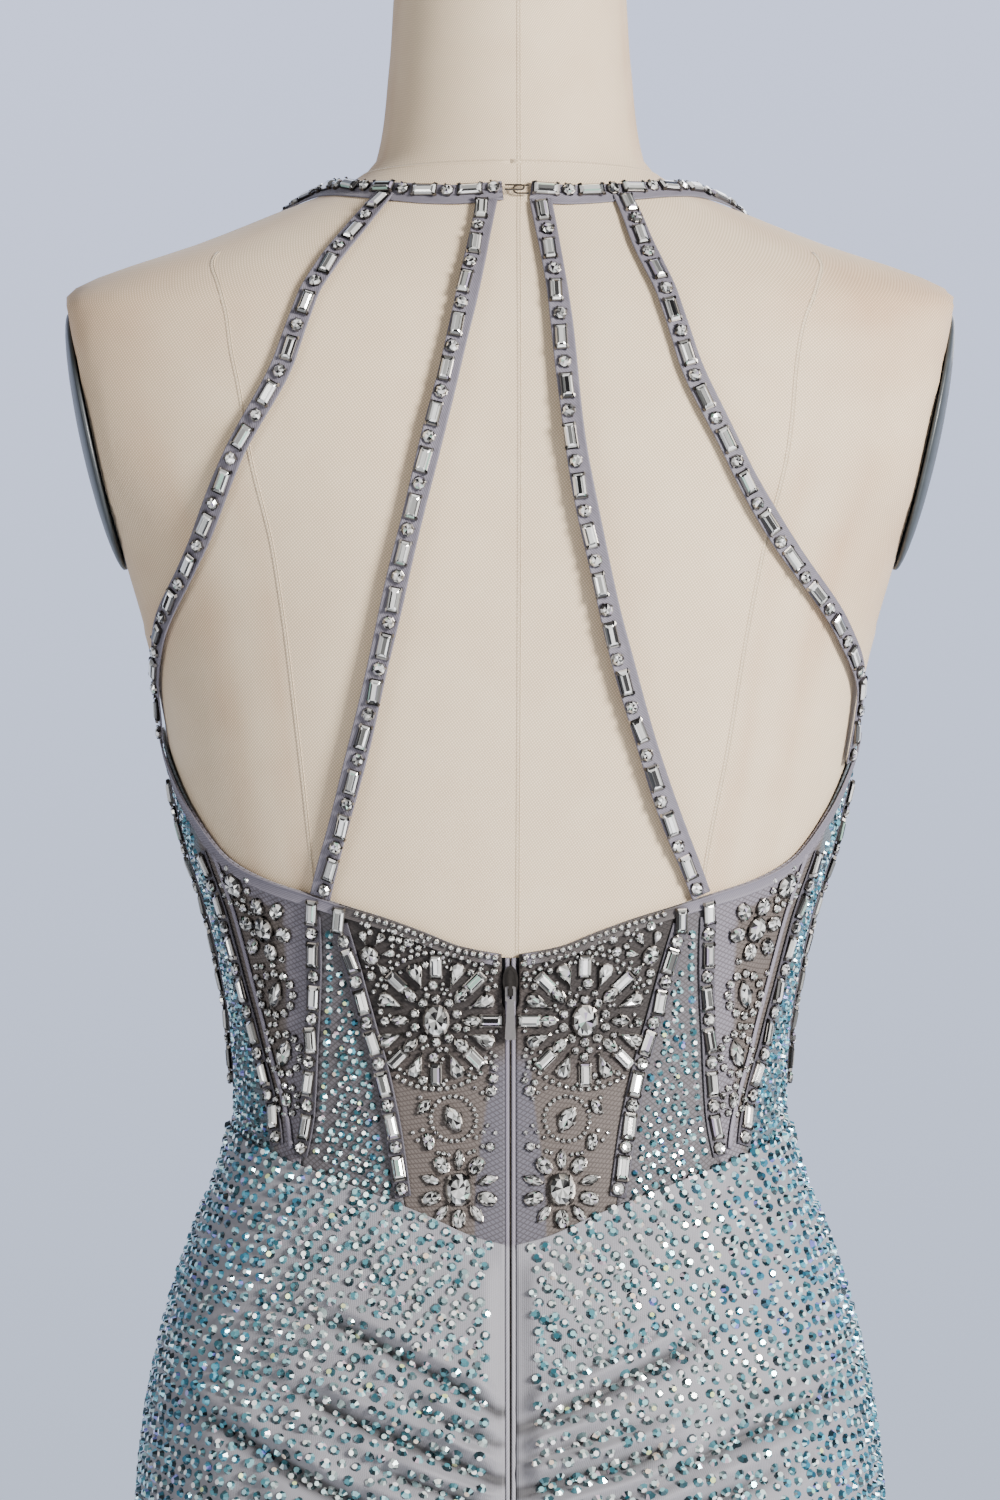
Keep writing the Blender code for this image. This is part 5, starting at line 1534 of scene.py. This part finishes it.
def ribbon_stones(
    name, turns, heights, lifts, shift, stone_height, seed, least_pitch=STONE_PITCH, lean=0.0):
    """A row of baguettes and round stones along a ribbon, the pitch fitted to its length.

    The shift is how far they sit off the ribbon's middle, at even places along it.
    """
    length = route_points(turns, heights, lifts)
    count = max(1, int(length / least_pitch))
    pitch = length / count
    gap = (pitch - BAGUETTE_LENGTH - ROUND_SIZE) / 2
    start = np.arange(count) * pitch
    long_places = start + gap / 2 + BAGUETTE_LENGTH / 2
    round_places = start + gap / 2 + BAGUETTE_LENGTH + gap + ROUND_SIZE / 2
    chance = np.random.default_rng(seed)
    groups = []
    for kind, places, size in (
            ("baguette", long_places, (BAGUETTE_LENGTH, BAGUETTE_WIDTH)),
            ("round", round_places, (ROUND_SIZE,) * 2)):
        centre, outward, aside = route_points(turns, heights, lifts, places, lean)
        ahead = np.cross(aside, outward)
        off = np.interp(places / length, np.linspace(0, 1, len(shift)), shift)[:, None]
        nudge = chance.normal(0, 0.0002, count)[:, None]
        swing = chance.normal(0, math.radians(2.5), count)[:, None]
        ahead = unit(ahead + aside * np.tan(swing))
        centre = centre + aside * (off + nudge) + outward * 0.00045
        scale = chance.uniform(0.97, 1.03, count)
        sizes = np.stack([size[0] * scale, size[1] * scale, np.full(count, stone_height - 0.0004)], 1)
        groups.append((kind, centre, ahead, outward, sizes))
    return joined_stones(name, groups, seed)


def add_pipings(tulle):
    """A thin pale piping inside each side strip: a small half round carried along beside it."""
    angle = np.linspace(0, 2 * math.pi, 10, endpoint=False)
    profile = np.stack([1.15 * np.cos(angle), 0.35 + 0.55 * np.sin(angle)], 1) * MM
    turns, heights = BONING["boning_side"]
    for word, side in SIDES:
        rings, _ = carried(
            side * (np.array(turns) - 3.9), np.array(heights) - 0.001, np.full(len(turns), TRIM_LIFT),
            profile, 0.003)
        tint = plain_tint(rings.shape[:2], tulle) * 1.12
        piping = closed_tube(
            "side_piping_" + word, rings, [shared_material("folded_tulle")], tint=np.clip(tint, 0, 1))
        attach(piping, DRESS_BODY)


class PROMDRESS_OT_ribbons(bpy.types.Operator):
    """Builds the neckband, straps, boning strips and bindings with their large stones"""
    bl_idname = "prom_dress.ribbons"
    bl_label = "Ribbons and straps"

    def execute(self, context):
        sizes = context.scene.prom_sizes
        tulle = colour_hex(context.scene.prom_colours.tulle)
        turns = np.concatenate([
            [NECKBAND_RIGHT_END], np.arange(20.0, 341.0, 10.0), [360 + NECKBAND_LEFT_END]])
        folded = np.where(turns > 180, 360 - turns, turns)
        heights = smooth_value(folded, NECKBAND_TURNS, NECKBAND_HEIGHTS)
        heights = heights - 0.0046 * ease(folded, 2.0, 26.0) * ease(folded, 92.0, 60.0)
        heights = heights + 0.0022 * (turns > 180) * np.exp(-((folded - 88) / 16) ** 2)
        lifts = NECKBAND_LIFT + 0.0004 * np.exp(-((folded - 85) / 32) ** 2)
        add_ribbon(
            "neckband_ribbon", "neckband", turns, heights, lifts, RIBBON_PROFILE, tulle, 1, lean=0.45)
        ribbon_stones(
            "neckband_stones", turns, heights, lifts, (sizes.stone_shift,) * 2, sizes.stone_height, 2,
            lean=0.45)
        for seed, (name, places) in enumerate(STRAPS.items()):
            turns, heights, lifts = (
                np.array([getattr(p, k) for p in places]) for k in ("turn", "height", "lift"))
            taut = 0.0030 if "inner" in name else 0.0012
            lifts = lifts + taut * np.sin(np.linspace(0, math.pi, len(lifts)))
            shift = sizes.stone_shift * np.array(STRAP_SHIFTS[name])
            add_ribbon(name + "_ribbon", name, turns, heights, lifts, RIBBON_PROFILE, tulle, 10 + seed)
            ribbon_stones(name + "_stones", turns, heights, lifts, shift, sizes.stone_height, 20 + seed)
        for seed, (stem, (turns, heights)) in enumerate(BONING.items()):
            for word, side in SIDES:
                name = stem + "_" + word
                lifts = np.full(len(turns), TRIM_LIFT)
                sided = side * np.array(turns)
                narrow = RIBBON_PROFILE * (0.80, 1.0)
                add_ribbon(name + "_ribbon", name, sided, heights, lifts, narrow, "#4E4B53", 40 + seed)
                over = 0.0075 if "wedge" in name else 0.0
                run_turns = np.concatenate([[sided[0] - side * 140 * over], sided])
                run_heights = np.concatenate([[heights[0] + over], heights])
                run_lifts = np.concatenate([[lifts[0] + 0.12 * over], lifts])
                first = 0 if over else 1
                ribbon_stones(
                    name + "_stones", run_turns[first:], run_heights[first:], run_lifts[first:], (0.0, 0.0),
                    sizes.stone_height, 60 + 2 * seed + side, least_pitch=STRIP_PITCH)
        add_pipings(tulle)
        half = BINDING_WIDTH / 2
        profile = RIBBON_PROFILE * (half / (4.7 * MM), 1.3)

        def binding_shade(turn):
            """Dark net along the beaded part, and lilac by the zip and round the sides."""
            lilac = np.maximum(ease(turn, 9.0, 6.0), ease(turn, 43.0, 46.0))[:, None]
            return srgb("#45403F") * (1 - lilac) + srgb(tulle) * lilac

        for word, side in SIDES:
            places = np.array([turn_at(TAPE_WIDTH + 0.001, 1.108), *BACK_EDGE_TURNS[1:-1], 91.0])
            edge = back_edge(places) - half
            lifts = np.full(len(places), TRIM_LIFT)
            name = "back_binding_" + word
            add_ribbon(
                name + "_tulle", name, side * places, edge, lifts, profile, binding_shade, 70 + side)
        return {"FINISHED"}


# The crystal flowers, ovals and beads on the back panels. A row is x, y, length, width and angle
# with its kind: millimetres round the skin and up, from a centre, and degrees from X

def petals(count, reach, length, width, kind, start=0.0, skip=()):
    """Stones round a centre, each pointing away from it."""
    angle = np.radians(start + 360 * np.arange(count) / count)
    rows = [(reach * math.cos(a), reach * math.sin(a), length, width, math.degrees(a), kind) for a in angle]
    return [row for index, row in enumerate(rows) if index not in skip]


def moved(rows, x, y):
    return [(row[0] + x, row[1] + y, *row[2:]) for row in rows]


def net_layout():
    """Stones of one net panel, in millimetres round from the centre back and above 1 m."""
    rosette = [(0, 0, 14.0, 11.6, 90.0, "oval")] + petals(10, 9.4, 4.2, 4.2, "round", 18.0)
    rosette += petals(8, 15.4, 8.4, 5.2, "marquise", 0.0)
    rosette += petals(8, 21.0, 11.6, 7.6, "teardrop", 22.5)
    rosette += petals(8, 23.4, 10.2, 5.4, "baguette", 0.0)
    rosette += petals(8, 14.2, 4.4, 4.4, "round", 22.5)
    rosette += petals(58, 29.4, 2.4, 2.4, "round", 0.0)
    low = [(0, 0, 14.6, 11.6, 90.0, "oval")] + petals(5, 12.4, 8.6, 6.3, "oval", 54.0)
    low += petals(5, 12.6, 9.0, 4.5, "marquise", 18.0)
    middle = [(0, 0, 12.4, 7.6, 62.0, "marquise")] + petals(24, 9.6, 2.2, 2.2, "bead", 5.0)
    rows = moved(rosette, 31.5, 80.0) + moved(low, 21.6, 8.0) + moved(middle, 24.0, 38.0)
    down = np.array([57.0, 50.0, 43.0, 35.5, 28.0, 20.5])
    room = np.array([39.6, 37.2, 36.4, 35.4, 34.6, 33.8])
    kinds = ("teardrop", "oval", "marquise")
    for index, (x, y) in enumerate(zip(room, down)):
        rows.append((x, y, 8.0, 5.2, 20.0 + 55.0 * (index % 3), kinds[index % 3]))
    rows += [(8.2, 50.0, 5.0, 5.0, 0.0, "round"), (8.4, 26.0, 4.2, 4.2, 0.0, "round")]
    rows += [(7.6, y, 5.4, 4.4, 0.0, "oval") for y in (60.5, 98.0)]
    rows += [(60.0, 108.0, 9.0, 7.4, 50.0, "oval")] + moved(
        petals(7, 8.0, 6.2, 4.4, "teardrop", 20.0), 60.0, 108.0)
    edge_x = np.arange(11.0, 66.0, 9.4)
    for index, (x, y) in enumerate(zip(edge_x, edge_height(edge_x, 9.4))):
        rows.append((x, y, 8.4, 5.8, 40.0 + 50.0 * (index % 3), kinds[index % 3]))
    for reach, drop in ((15.0, 10.5), (19.0, 15.5)):
        angle = np.radians(np.arange(196.0, 346.0, 127.0 / reach))
        rows += [(24 + reach * math.cos(a), 38 + drop * math.sin(a), 2.2, 2.2, 0.0, "bead") for a in angle]
    rows += [
        (24 + 15.0 * math.cos(a), 44 + 9 * math.sin(a), 2.2, 2.2, 0.0, "bead")
        for a in np.radians(np.arange(10.0, 175.0, 9.0))]
    return rows


def side_layout():
    """Stones of one side panel, in millimetres round from the centre back and above 1 m."""
    top = [(0, 0, 11.4, 9.8, 60.0, "oval")] + petals(6, 10.4, 8.2, 7.0, "oval", 12.0)
    top += petals(6, 10.6, 4.4, 4.4, "round", 42.0)
    middle = [(0, 0, 13.4, 7.0, 112.0, "marquise")] + petals(12, 9.2, 4.2, 4.2, "round", 0.0)
    foot = [(0, 0, 13.0, 7.6, 112.0, "marquise")] + petals(12, 8.8, 3.8, 3.8, "round", 10.0)
    last = [(0, 0, 7.4, 5.2, 90.0, "oval")] + petals(9, 6.2, 3.4, 3.4, "round", 0.0)
    rows = []
    for shape, (turn, height) in zip((top, middle, foot, last), SIDE_MOTIFS):
        rows += moved(shape, 1000 * arc_from_turn(turn, height), 1000 * (height - 1))
    x, y = 1000 * arc_from_turn(*SIDE_MOTIFS[0]), 1000 * (SIDE_MOTIFS[0][1] - 1)
    rows += moved(
        [(0, 0, 11.4, 9.6, 60.0, "oval")] + petals(11, 8.2, 3.2, 3.2, "round"), x + 16.5, y + 19.0)
    rows += moved([(0, 0, 5.4, 5.4, 0.0, "round"), (5.6, -5.5, 4.4, 4.4, 0.0, "round")], x + 6.0, y + 14.5)
    return rows


def filling(chance, low, high, gap, sizes, keep):
    """Chance places for small stones between two corners, a gap apart, where keep allows them.

    The sizes are the least and the most across; from 2.8 mm up they are cut round stones.
    """
    columns = int((high[0] - low[0]) / gap)
    rows = int((high[1] - low[1]) / gap)
    x, y = np.meshgrid(low[0] + gap * np.arange(columns), low[1] + gap * np.arange(rows))
    x = (x + 0.5 * gap * (np.arange(rows)[:, None] % 2) + chance.normal(0, 0.16 * gap, x.shape)).ravel()
    y = (y + chance.normal(0, 0.16 * gap, y.shape)).ravel()
    kept = keep(x, y)
    kind = "round" if sizes[0] >= 2.8 else "bead"
    return [
        (a, b, s, s, 0.0, kind) for a, b, s in zip(x[kept], y[kept], chance.uniform(*sizes, kept.sum()))]


def without_clashes(rows):
    """The rows in order, each kept only if its outline stays clear of those kept before it."""
    kept = []
    for row in rows:
        if not kept:
            kept.append(row)
            continue
        others = np.array([r[:5] for r in kept], float)
        dx, dy = row[0] - others[:, 0], row[1] - others[:, 1]
        angle = np.radians(others[:, 4])
        small = min(row[2], row[3]) / 2 * 0.94
        u = (dx * np.cos(angle) + dy * np.sin(angle)) / (others[:, 2] / 2 + small)
        v = (-dx * np.sin(angle) + dy * np.cos(angle)) / (others[:, 3] / 2 + small)
        own = math.radians(row[4])
        tight = np.minimum(others[:, 2], others[:, 3]) / 2 * 0.94
        a = (-dx * math.cos(own) - dy * math.sin(own)) / (row[2] / 2 + tight)
        b = (dx * math.sin(own) - dy * math.cos(own)) / (row[3] / 2 + tight)
        if np.all(u * u + v * v >= 1) and np.all(a * a + b * b >= 1):
            kept.append(row)
    return kept


def layout_stones(name, rows, side, seed, base_lift):
    """One mesh of the stones of a layout, laid on the panels of one side."""
    kinds = np.array([row[5] for row in rows])
    table = np.array([row[:5] for row in rows], float)
    height = 1 + table[:, 1] * MM
    turn = side * turn_from_arc(table[:, 0] * MM, height)
    lift = base_lift(table[:, 0], table[:, 1])
    point = body_point(turn, height, lift)
    outward = skin_normal(turn, height)
    across = unit(np.cross(outward, np.array([0.0, 0.0, 1.0])) * -1)
    up = np.cross(outward, across)
    angle = np.radians(table[:, 4])[:, None]
    along = across * side * np.cos(angle) + up * np.sin(angle)
    groups = []
    for kind in sorted(set(kinds)):
        mask = kinds == kind
        length, width = table[mask, 2] * MM, table[mask, 3] * MM
        tall = np.clip(0.30 * width + 0.0009, 0.0010, 0.0036)
        groups.append((kind, point[mask], along[mask], outward[mask], np.stack([length, width, tall], 1)))
    return joined_stones(name, groups, seed)


def panel_rows(x, y, side_margin=2.2):
    """Where a place of a net panel lies inside its seams, its top edge and its waist."""
    height = 1 + y * MM
    turn = turn_from_arc(x * MM, height)
    seam = upright_seam(height, WEDGE_INNER_TURNS)
    room = (seam - turn) * math.pi / 180 * body_radius(turn, height) * 1000
    top = (back_edge(turn) - height) * 1000
    low = (height - waist_seam(turn)) * 1000
    return (room > side_margin + 4.2) & (x > 6.0) & (top > 3.0) & (low > 2.5)


def upper_room(x, y):
    """Where small stones fill the upper net: up to its top edge, the zip and the boning."""
    height = 1 + y * MM
    turn = turn_from_arc(x * MM, height)
    room = (upright_seam(height, WEDGE_INNER_TURNS) - turn) * math.pi / 180 * body_radius(
        turn, height) * 1000
    return (room > 5.4) & (x > 5.6) & ((back_edge(turn) - height) * 1000 > 1.4)


class PROMDRESS_OT_embroidery(bpy.types.Operator):
    """Sews the crystal flowers, ovals and beads on the net panels and the side panels"""
    bl_idname = "prom_dress.embroidery"
    bl_label = "Crystal embroidery"

    def execute(self, context):
        for word, side in SIDES:
            chance = np.random.default_rng(200 + side)
            rows = net_layout()
            table = np.array([row[:4] for row in rows], float)
            fits = panel_rows(
                table[:, 0], table[:, 1], side_margin=np.minimum(table[:, 2], table[:, 3]) / 2 - 1.0)
            rows = [row for row, ok in zip(rows, fits) if ok]
            edge_x = np.arange(6.5, 66.0, 3.1)
            rows += [(a, b, 2.7, 2.7, 0.0, "round") for a, b in zip(edge_x, edge_height(edge_x, 1.7))]
            for gap, span in ((5.0, (4.0, 4.8)), (3.4, (2.8, 3.4)), (2.3, (1.8, 2.3))):
                rows += filling(
                    chance, (5.0, 50.0), (66.0, 132.0), gap, span,
                    lambda x, y: upper_room(x, y) & (chance.uniform(0, 1, x.shape) < ease(y, 50.0, 62.0)))
            rows = without_clashes(rows)

            def lift(x, y):
                top = (back_edge(turn_from_arc(x * MM, 1 + y * MM)) - 1 - y * MM) * 1000
                return PANEL_INSIDE + PANEL_WALL + 0.0007 * (top < 5.4)

            layout_stones("net_stones_" + word, rows, side, 210 + side, lift)
            side_rows = side_layout()
            cx = 1000 * arc_from_turn(*SIDE_MOTIFS[1])
            side_rows += filling(
                chance, (cx - 4.0, 40.0), (cx + 18.0, 150.0), 3.3, (2.8, 3.4),
                lambda x, y: side_room(x, y) & (chance.uniform(0, 1, x.shape) < 0.55))
            layout_stones(
                "side_net_stones_" + word, below_edge(without_clashes(side_rows)), side, 220 + side,
                lambda x, y: PANEL_INSIDE + PANEL_WALL + 0 * x)
        return {"FINISHED"}


def edge_height(x, drop):
    """Millimetres over 1 m of a line that runs a drop below the low back's edge."""
    height = np.full(len(x), 1.11)
    for _ in range(6):
        height = back_edge(turn_from_arc(x * MM, height)) - drop * MM
    return (height - 1) * 1000


def side_room(x, y):
    """Where a place of a side panel lies between its band and the side boning."""
    height = 1 + y * MM
    turn = turn_from_arc(x * MM, height)
    strip = smooth_value(height, BONING["boning_side"][1][::-1], BONING["boning_side"][0][::-1])
    band = upright_seam(height, WEDGE_OUTER_TURNS) + 7.0
    return (turn > band) & (turn < strip - 4.0) & (height < back_edge(turn) - 0.013)


def below_edge(rows):
    """The rows whose stones end below the low back's edge."""
    place = np.array([row[:3] for row in rows])
    height = 1 + place[:, 1] * MM
    clear = (back_edge(turn_from_arc(place[:, 0] * MM, height)) - height) / MM > place[:, 2] / 2 + 0.5
    return [row for row, kept in zip(rows, clear) if kept]


# The zip, the hook and the eye

# Profile rows: millimetres from the gap, millimetres out, 1 if under the cloth, and a painted shade: dark
# down in the gap and beneath, above 1 as a painted highlight on the fold's top
TAPE_PROFILE = np.array([
    (0.05, -0.60, 1, 0.20), (4.40, -0.60, 1, 0.30), (4.45, -0.35, 1, 0.30), (4.40, -0.10, 1, 0.30),
    (2.25, -0.10, 1, 0.30), (2.16, -0.60, 0, 0.40), (2.02, -0.08, 0, 0.82), (1.75, 0.10, 0, 1.02),
    (1.30, 0.20, 0, 1.10), (0.80, 0.20, 0, 1.08), (0.42, 0.05, 0, 0.90), (0.24, -0.30, 0, 0.35),
    (0.05, -0.95, 0, 0.15)])


def add_zip_tapes(colours):
    """Tapes with a fold along the gap, running on beneath the edges of net and skirt.

    Each point of the profile has its distance from the gap, its height over the cloth's face
    or, where the third column is 1, over the level of the cloth's underside, and its painted
    shade: dark down in the gap and on the hidden underside, a painted highlight on the fold's top.
    """
    heights = np.linspace(TAPE_TOP, ZIP_FOOT, 120)
    seam = waist_seam(0.0)
    low = ease(heights, seam + 0.0022, seam + 0.0004)[:, None]
    under = PANEL_INSIDE + low * (SKIRT_INSIDE - PANEL_INSIDE)
    face = PANEL_INSIDE + PANEL_WALL + low * (
        SKIRT_INSIDE + SKIRT_WALL - PANEL_INSIDE - PANEL_WALL + 0.0003)
    across, out, beneath, shade = TAPE_PROFILE.T
    level = np.where(beneath[None] > 0, under, face) + out[None] * MM
    fold = srgb(colour_hex(colours.tulle)) * (1 - low) + srgb(colour_hex(colours.jersey)) * low
    # painted shade and painted highlight across the tape, by the profile's last column
    tint = np.clip(fold[:, None] * shade[None, :, None] * 1.02, 0, 1)
    for word, side in SIDES:
        turn = side * turn_at(SEAM_GAP / 2 + across[None] * MM, heights[:, None])
        rings = body_point(turn, heights[:, None] + 0 * turn, level)
        tape = closed_tube("zip_tape_cloth_" + word, rings, [shared_material("folded_tulle")], tint=tint)
        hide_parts("zip_tape_" + word)
        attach(tape, DRESS_BODY)


class PROMDRESS_OT_zip(bpy.types.Operator):
    """Builds the zip's tapes and finishes its slider, pull tab, hook and eye"""
    bl_idname = "prom_dress.zip"
    bl_label = "Zip and hook"

    def execute(self, context):
        add_zip_tapes(context.scene.prom_colours)
        finishes = {
            "zip_slider": "gunmetal_zinc", "zip_pull_tab": "satin_nickel", "neck_hook": "blackened_wire",
            "neck_eye": "blackened_wire"}
        for name, finish in finishes.items():
            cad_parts[name].data.materials.clear()
            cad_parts[name].data.materials.append(shared_material(finish))
        return {"FINISHED"}


# The stage

def add_light(name, place, target, size, power, colour):
    """A square soft light that faces its target."""
    data = bpy.data.lights.new(name, "AREA")
    data.shape = "RECTANGLE"
    data.size, data.size_y = size
    data.energy = power
    data.color = colour
    lamp = bpy.data.objects.new(name, data)
    bpy.context.scene.collection.objects.link(lamp)
    lamp.location = place
    aim = np.array(target) - np.array(place)
    lamp.rotation_euler = (
        math.atan2(math.hypot(aim[0], aim[1]), -aim[2]), 0.0, math.atan2(aim[1], aim[0]) - math.pi / 2)
    return lamp


def surround(strength):
    """Light from all round: pale blue-grey paper on the far side, a dimmer room on the near one."""
    world = bpy.data.worlds.new("studio")
    world.use_nodes = True
    tree = world.node_tree
    way = add_node(tree, "ShaderNodeTexCoord").outputs["Generated"]
    parts = add_node(tree, "ShaderNodeSeparateXYZ", links={"Vector": way}).outputs
    behind = add_node(
        tree, "ShaderNodeMapRange", links={"Value": parts["Y"]}, values={"From Min": 0.2, "From Max": 0.8},
        interpolation_type="SMOOTHSTEP").outputs[0]
    fall = add_node(
        tree, "ShaderNodeMapRange", links={"Value": parts["Z"]},
        values={"From Min": -0.16, "From Max": 0.16}).outputs[0]
    paper = mixed(tree, fall, linear("#BAC5DB"), linear("#D5DFFF"))
    back = tree.nodes["Background"]
    tree.links.new(mixed(tree, behind, linear("#707073"), paper), back.inputs["Color"])
    back.inputs["Strength"].default_value = strength
    return world


class PROMDRESS_OT_stage(bpy.types.Operator):
    """Lays the pale floor and sets the soft lights, the surround and the camera"""
    bl_idname = "prom_dress.stage"
    bl_label = "Stage"

    def execute(self, context):
        settings = context.scene.prom_stage
        angle = np.linspace(0, 2 * math.pi, 96, endpoint=False)
        ring = np.stack([np.cos(angle), np.sin(angle), 0 * angle], 1)
        rings = np.stack([
            ring * 3.4 + (0, 0, -0.02), ring * 3.4 + (0, 0, -0.0002), ring * 0.02 + (0, 0, -0.0002)])
        material, tree, shader = start_material("matt_floor", Roughness=0.9)
        place = add_node(tree, "ShaderNodeTexCoord").outputs["Object"]
        mottle = add_node(
            tree, "ShaderNodeTexNoise", links={"Vector": place}, values={"Scale": 3.0}).outputs["Fac"]
        tree.links.new(
            mixed(tree, mottle, linear("#C9CDD4"), linear("#D0D3D9")), shader.inputs["Base Color"])
        floor = closed_tube("floor", rings, [material], smooth=False)
        context.scene.world = surround(settings.surround)
        add_light("key", (2.1, -2.3, 2.0), (0, 0, 1.15), (0.8, 1.0), settings.key_power, (1.0, 0.97, 0.94))
        add_light(
            "fill", (-2.3, -2.0, 1.5), (0, 0, 1.10), (1.4, 1.8), settings.fill_power, (1.0, 0.99, 0.97))
        add_light("rear", (0.6, 2.4, 2.3), (0, 0, 1.10), (1.6, 1.6), settings.fill_power, (1.0, 1.0, 1.0))
        data = bpy.data.cameras.new("camera")
        data.sensor_width = 36.0
        data.lens = 108.1
        data.clip_start = 0.05
        camera = bpy.data.objects.new("camera", data)
        context.scene.collection.objects.link(camera)
        camera.location = (-0.00444, -2.0, 1.1954)
        camera.rotation_euler = (math.pi / 2, 0.0, 0.0)
        context.scene.camera = camera
        return {"FINISHED"}


class PROMDRESS_PT_pieces(bpy.types.Panel):
    """Lists the pieces of the dress and the values that shape them"""
    bl_label = "Short prom dress"
    bl_space_type = "VIEW_3D"
    bl_region_type = "UI"
    bl_category = "Prom dress"

    def draw(self, context):
        layout = self.layout
        for group, title in ((context.scene.prom_sizes, "Sizes"), (context.scene.prom_colours, "Colours"),
                             (context.scene.prom_stage, "Stage")):
            box = layout.box()
            box.label(text=title)
            for key in group.__annotations__:
                box.prop(group, key)
        for operator in OPERATORS:
            layout.operator(operator.bl_idname)


OPERATORS = (
    PROMDRESS_OT_form, PROMDRESS_OT_skirt, PROMDRESS_OT_bodice, PROMDRESS_OT_ribbons,
    PROMDRESS_OT_embroidery,
    PROMDRESS_OT_zip, PROMDRESS_OT_stage)
GROUPS = (
    ("prom_sizes", PromDressSizes), ("prom_colours", PromDressColours), ("prom_stage", PromDressStage))


def register():
    for name, group in GROUPS:
        bpy.utils.register_class(group)
        setattr(bpy.types.Scene, name, PointerProperty(type=group))
    for operator in OPERATORS:
        bpy.utils.register_class(operator)
    bpy.utils.register_class(PROMDRESS_PT_pieces)


def unregister():
    bpy.utils.unregister_class(PROMDRESS_PT_pieces)
    for operator in reversed(OPERATORS):
        bpy.utils.unregister_class(operator)
    for name, group in reversed(GROUPS):
        delattr(bpy.types.Scene, name)
        bpy.utils.unregister_class(group)


def main():
    register()
    bpy.ops.prom_dress.form()
    bpy.ops.prom_dress.skirt()
    bpy.ops.prom_dress.bodice()
    bpy.ops.prom_dress.ribbons()
    bpy.ops.prom_dress.embroidery()
    bpy.ops.prom_dress.zip()
    bpy.ops.prom_dress.stage()


if __name__ == "__main__":
    main()
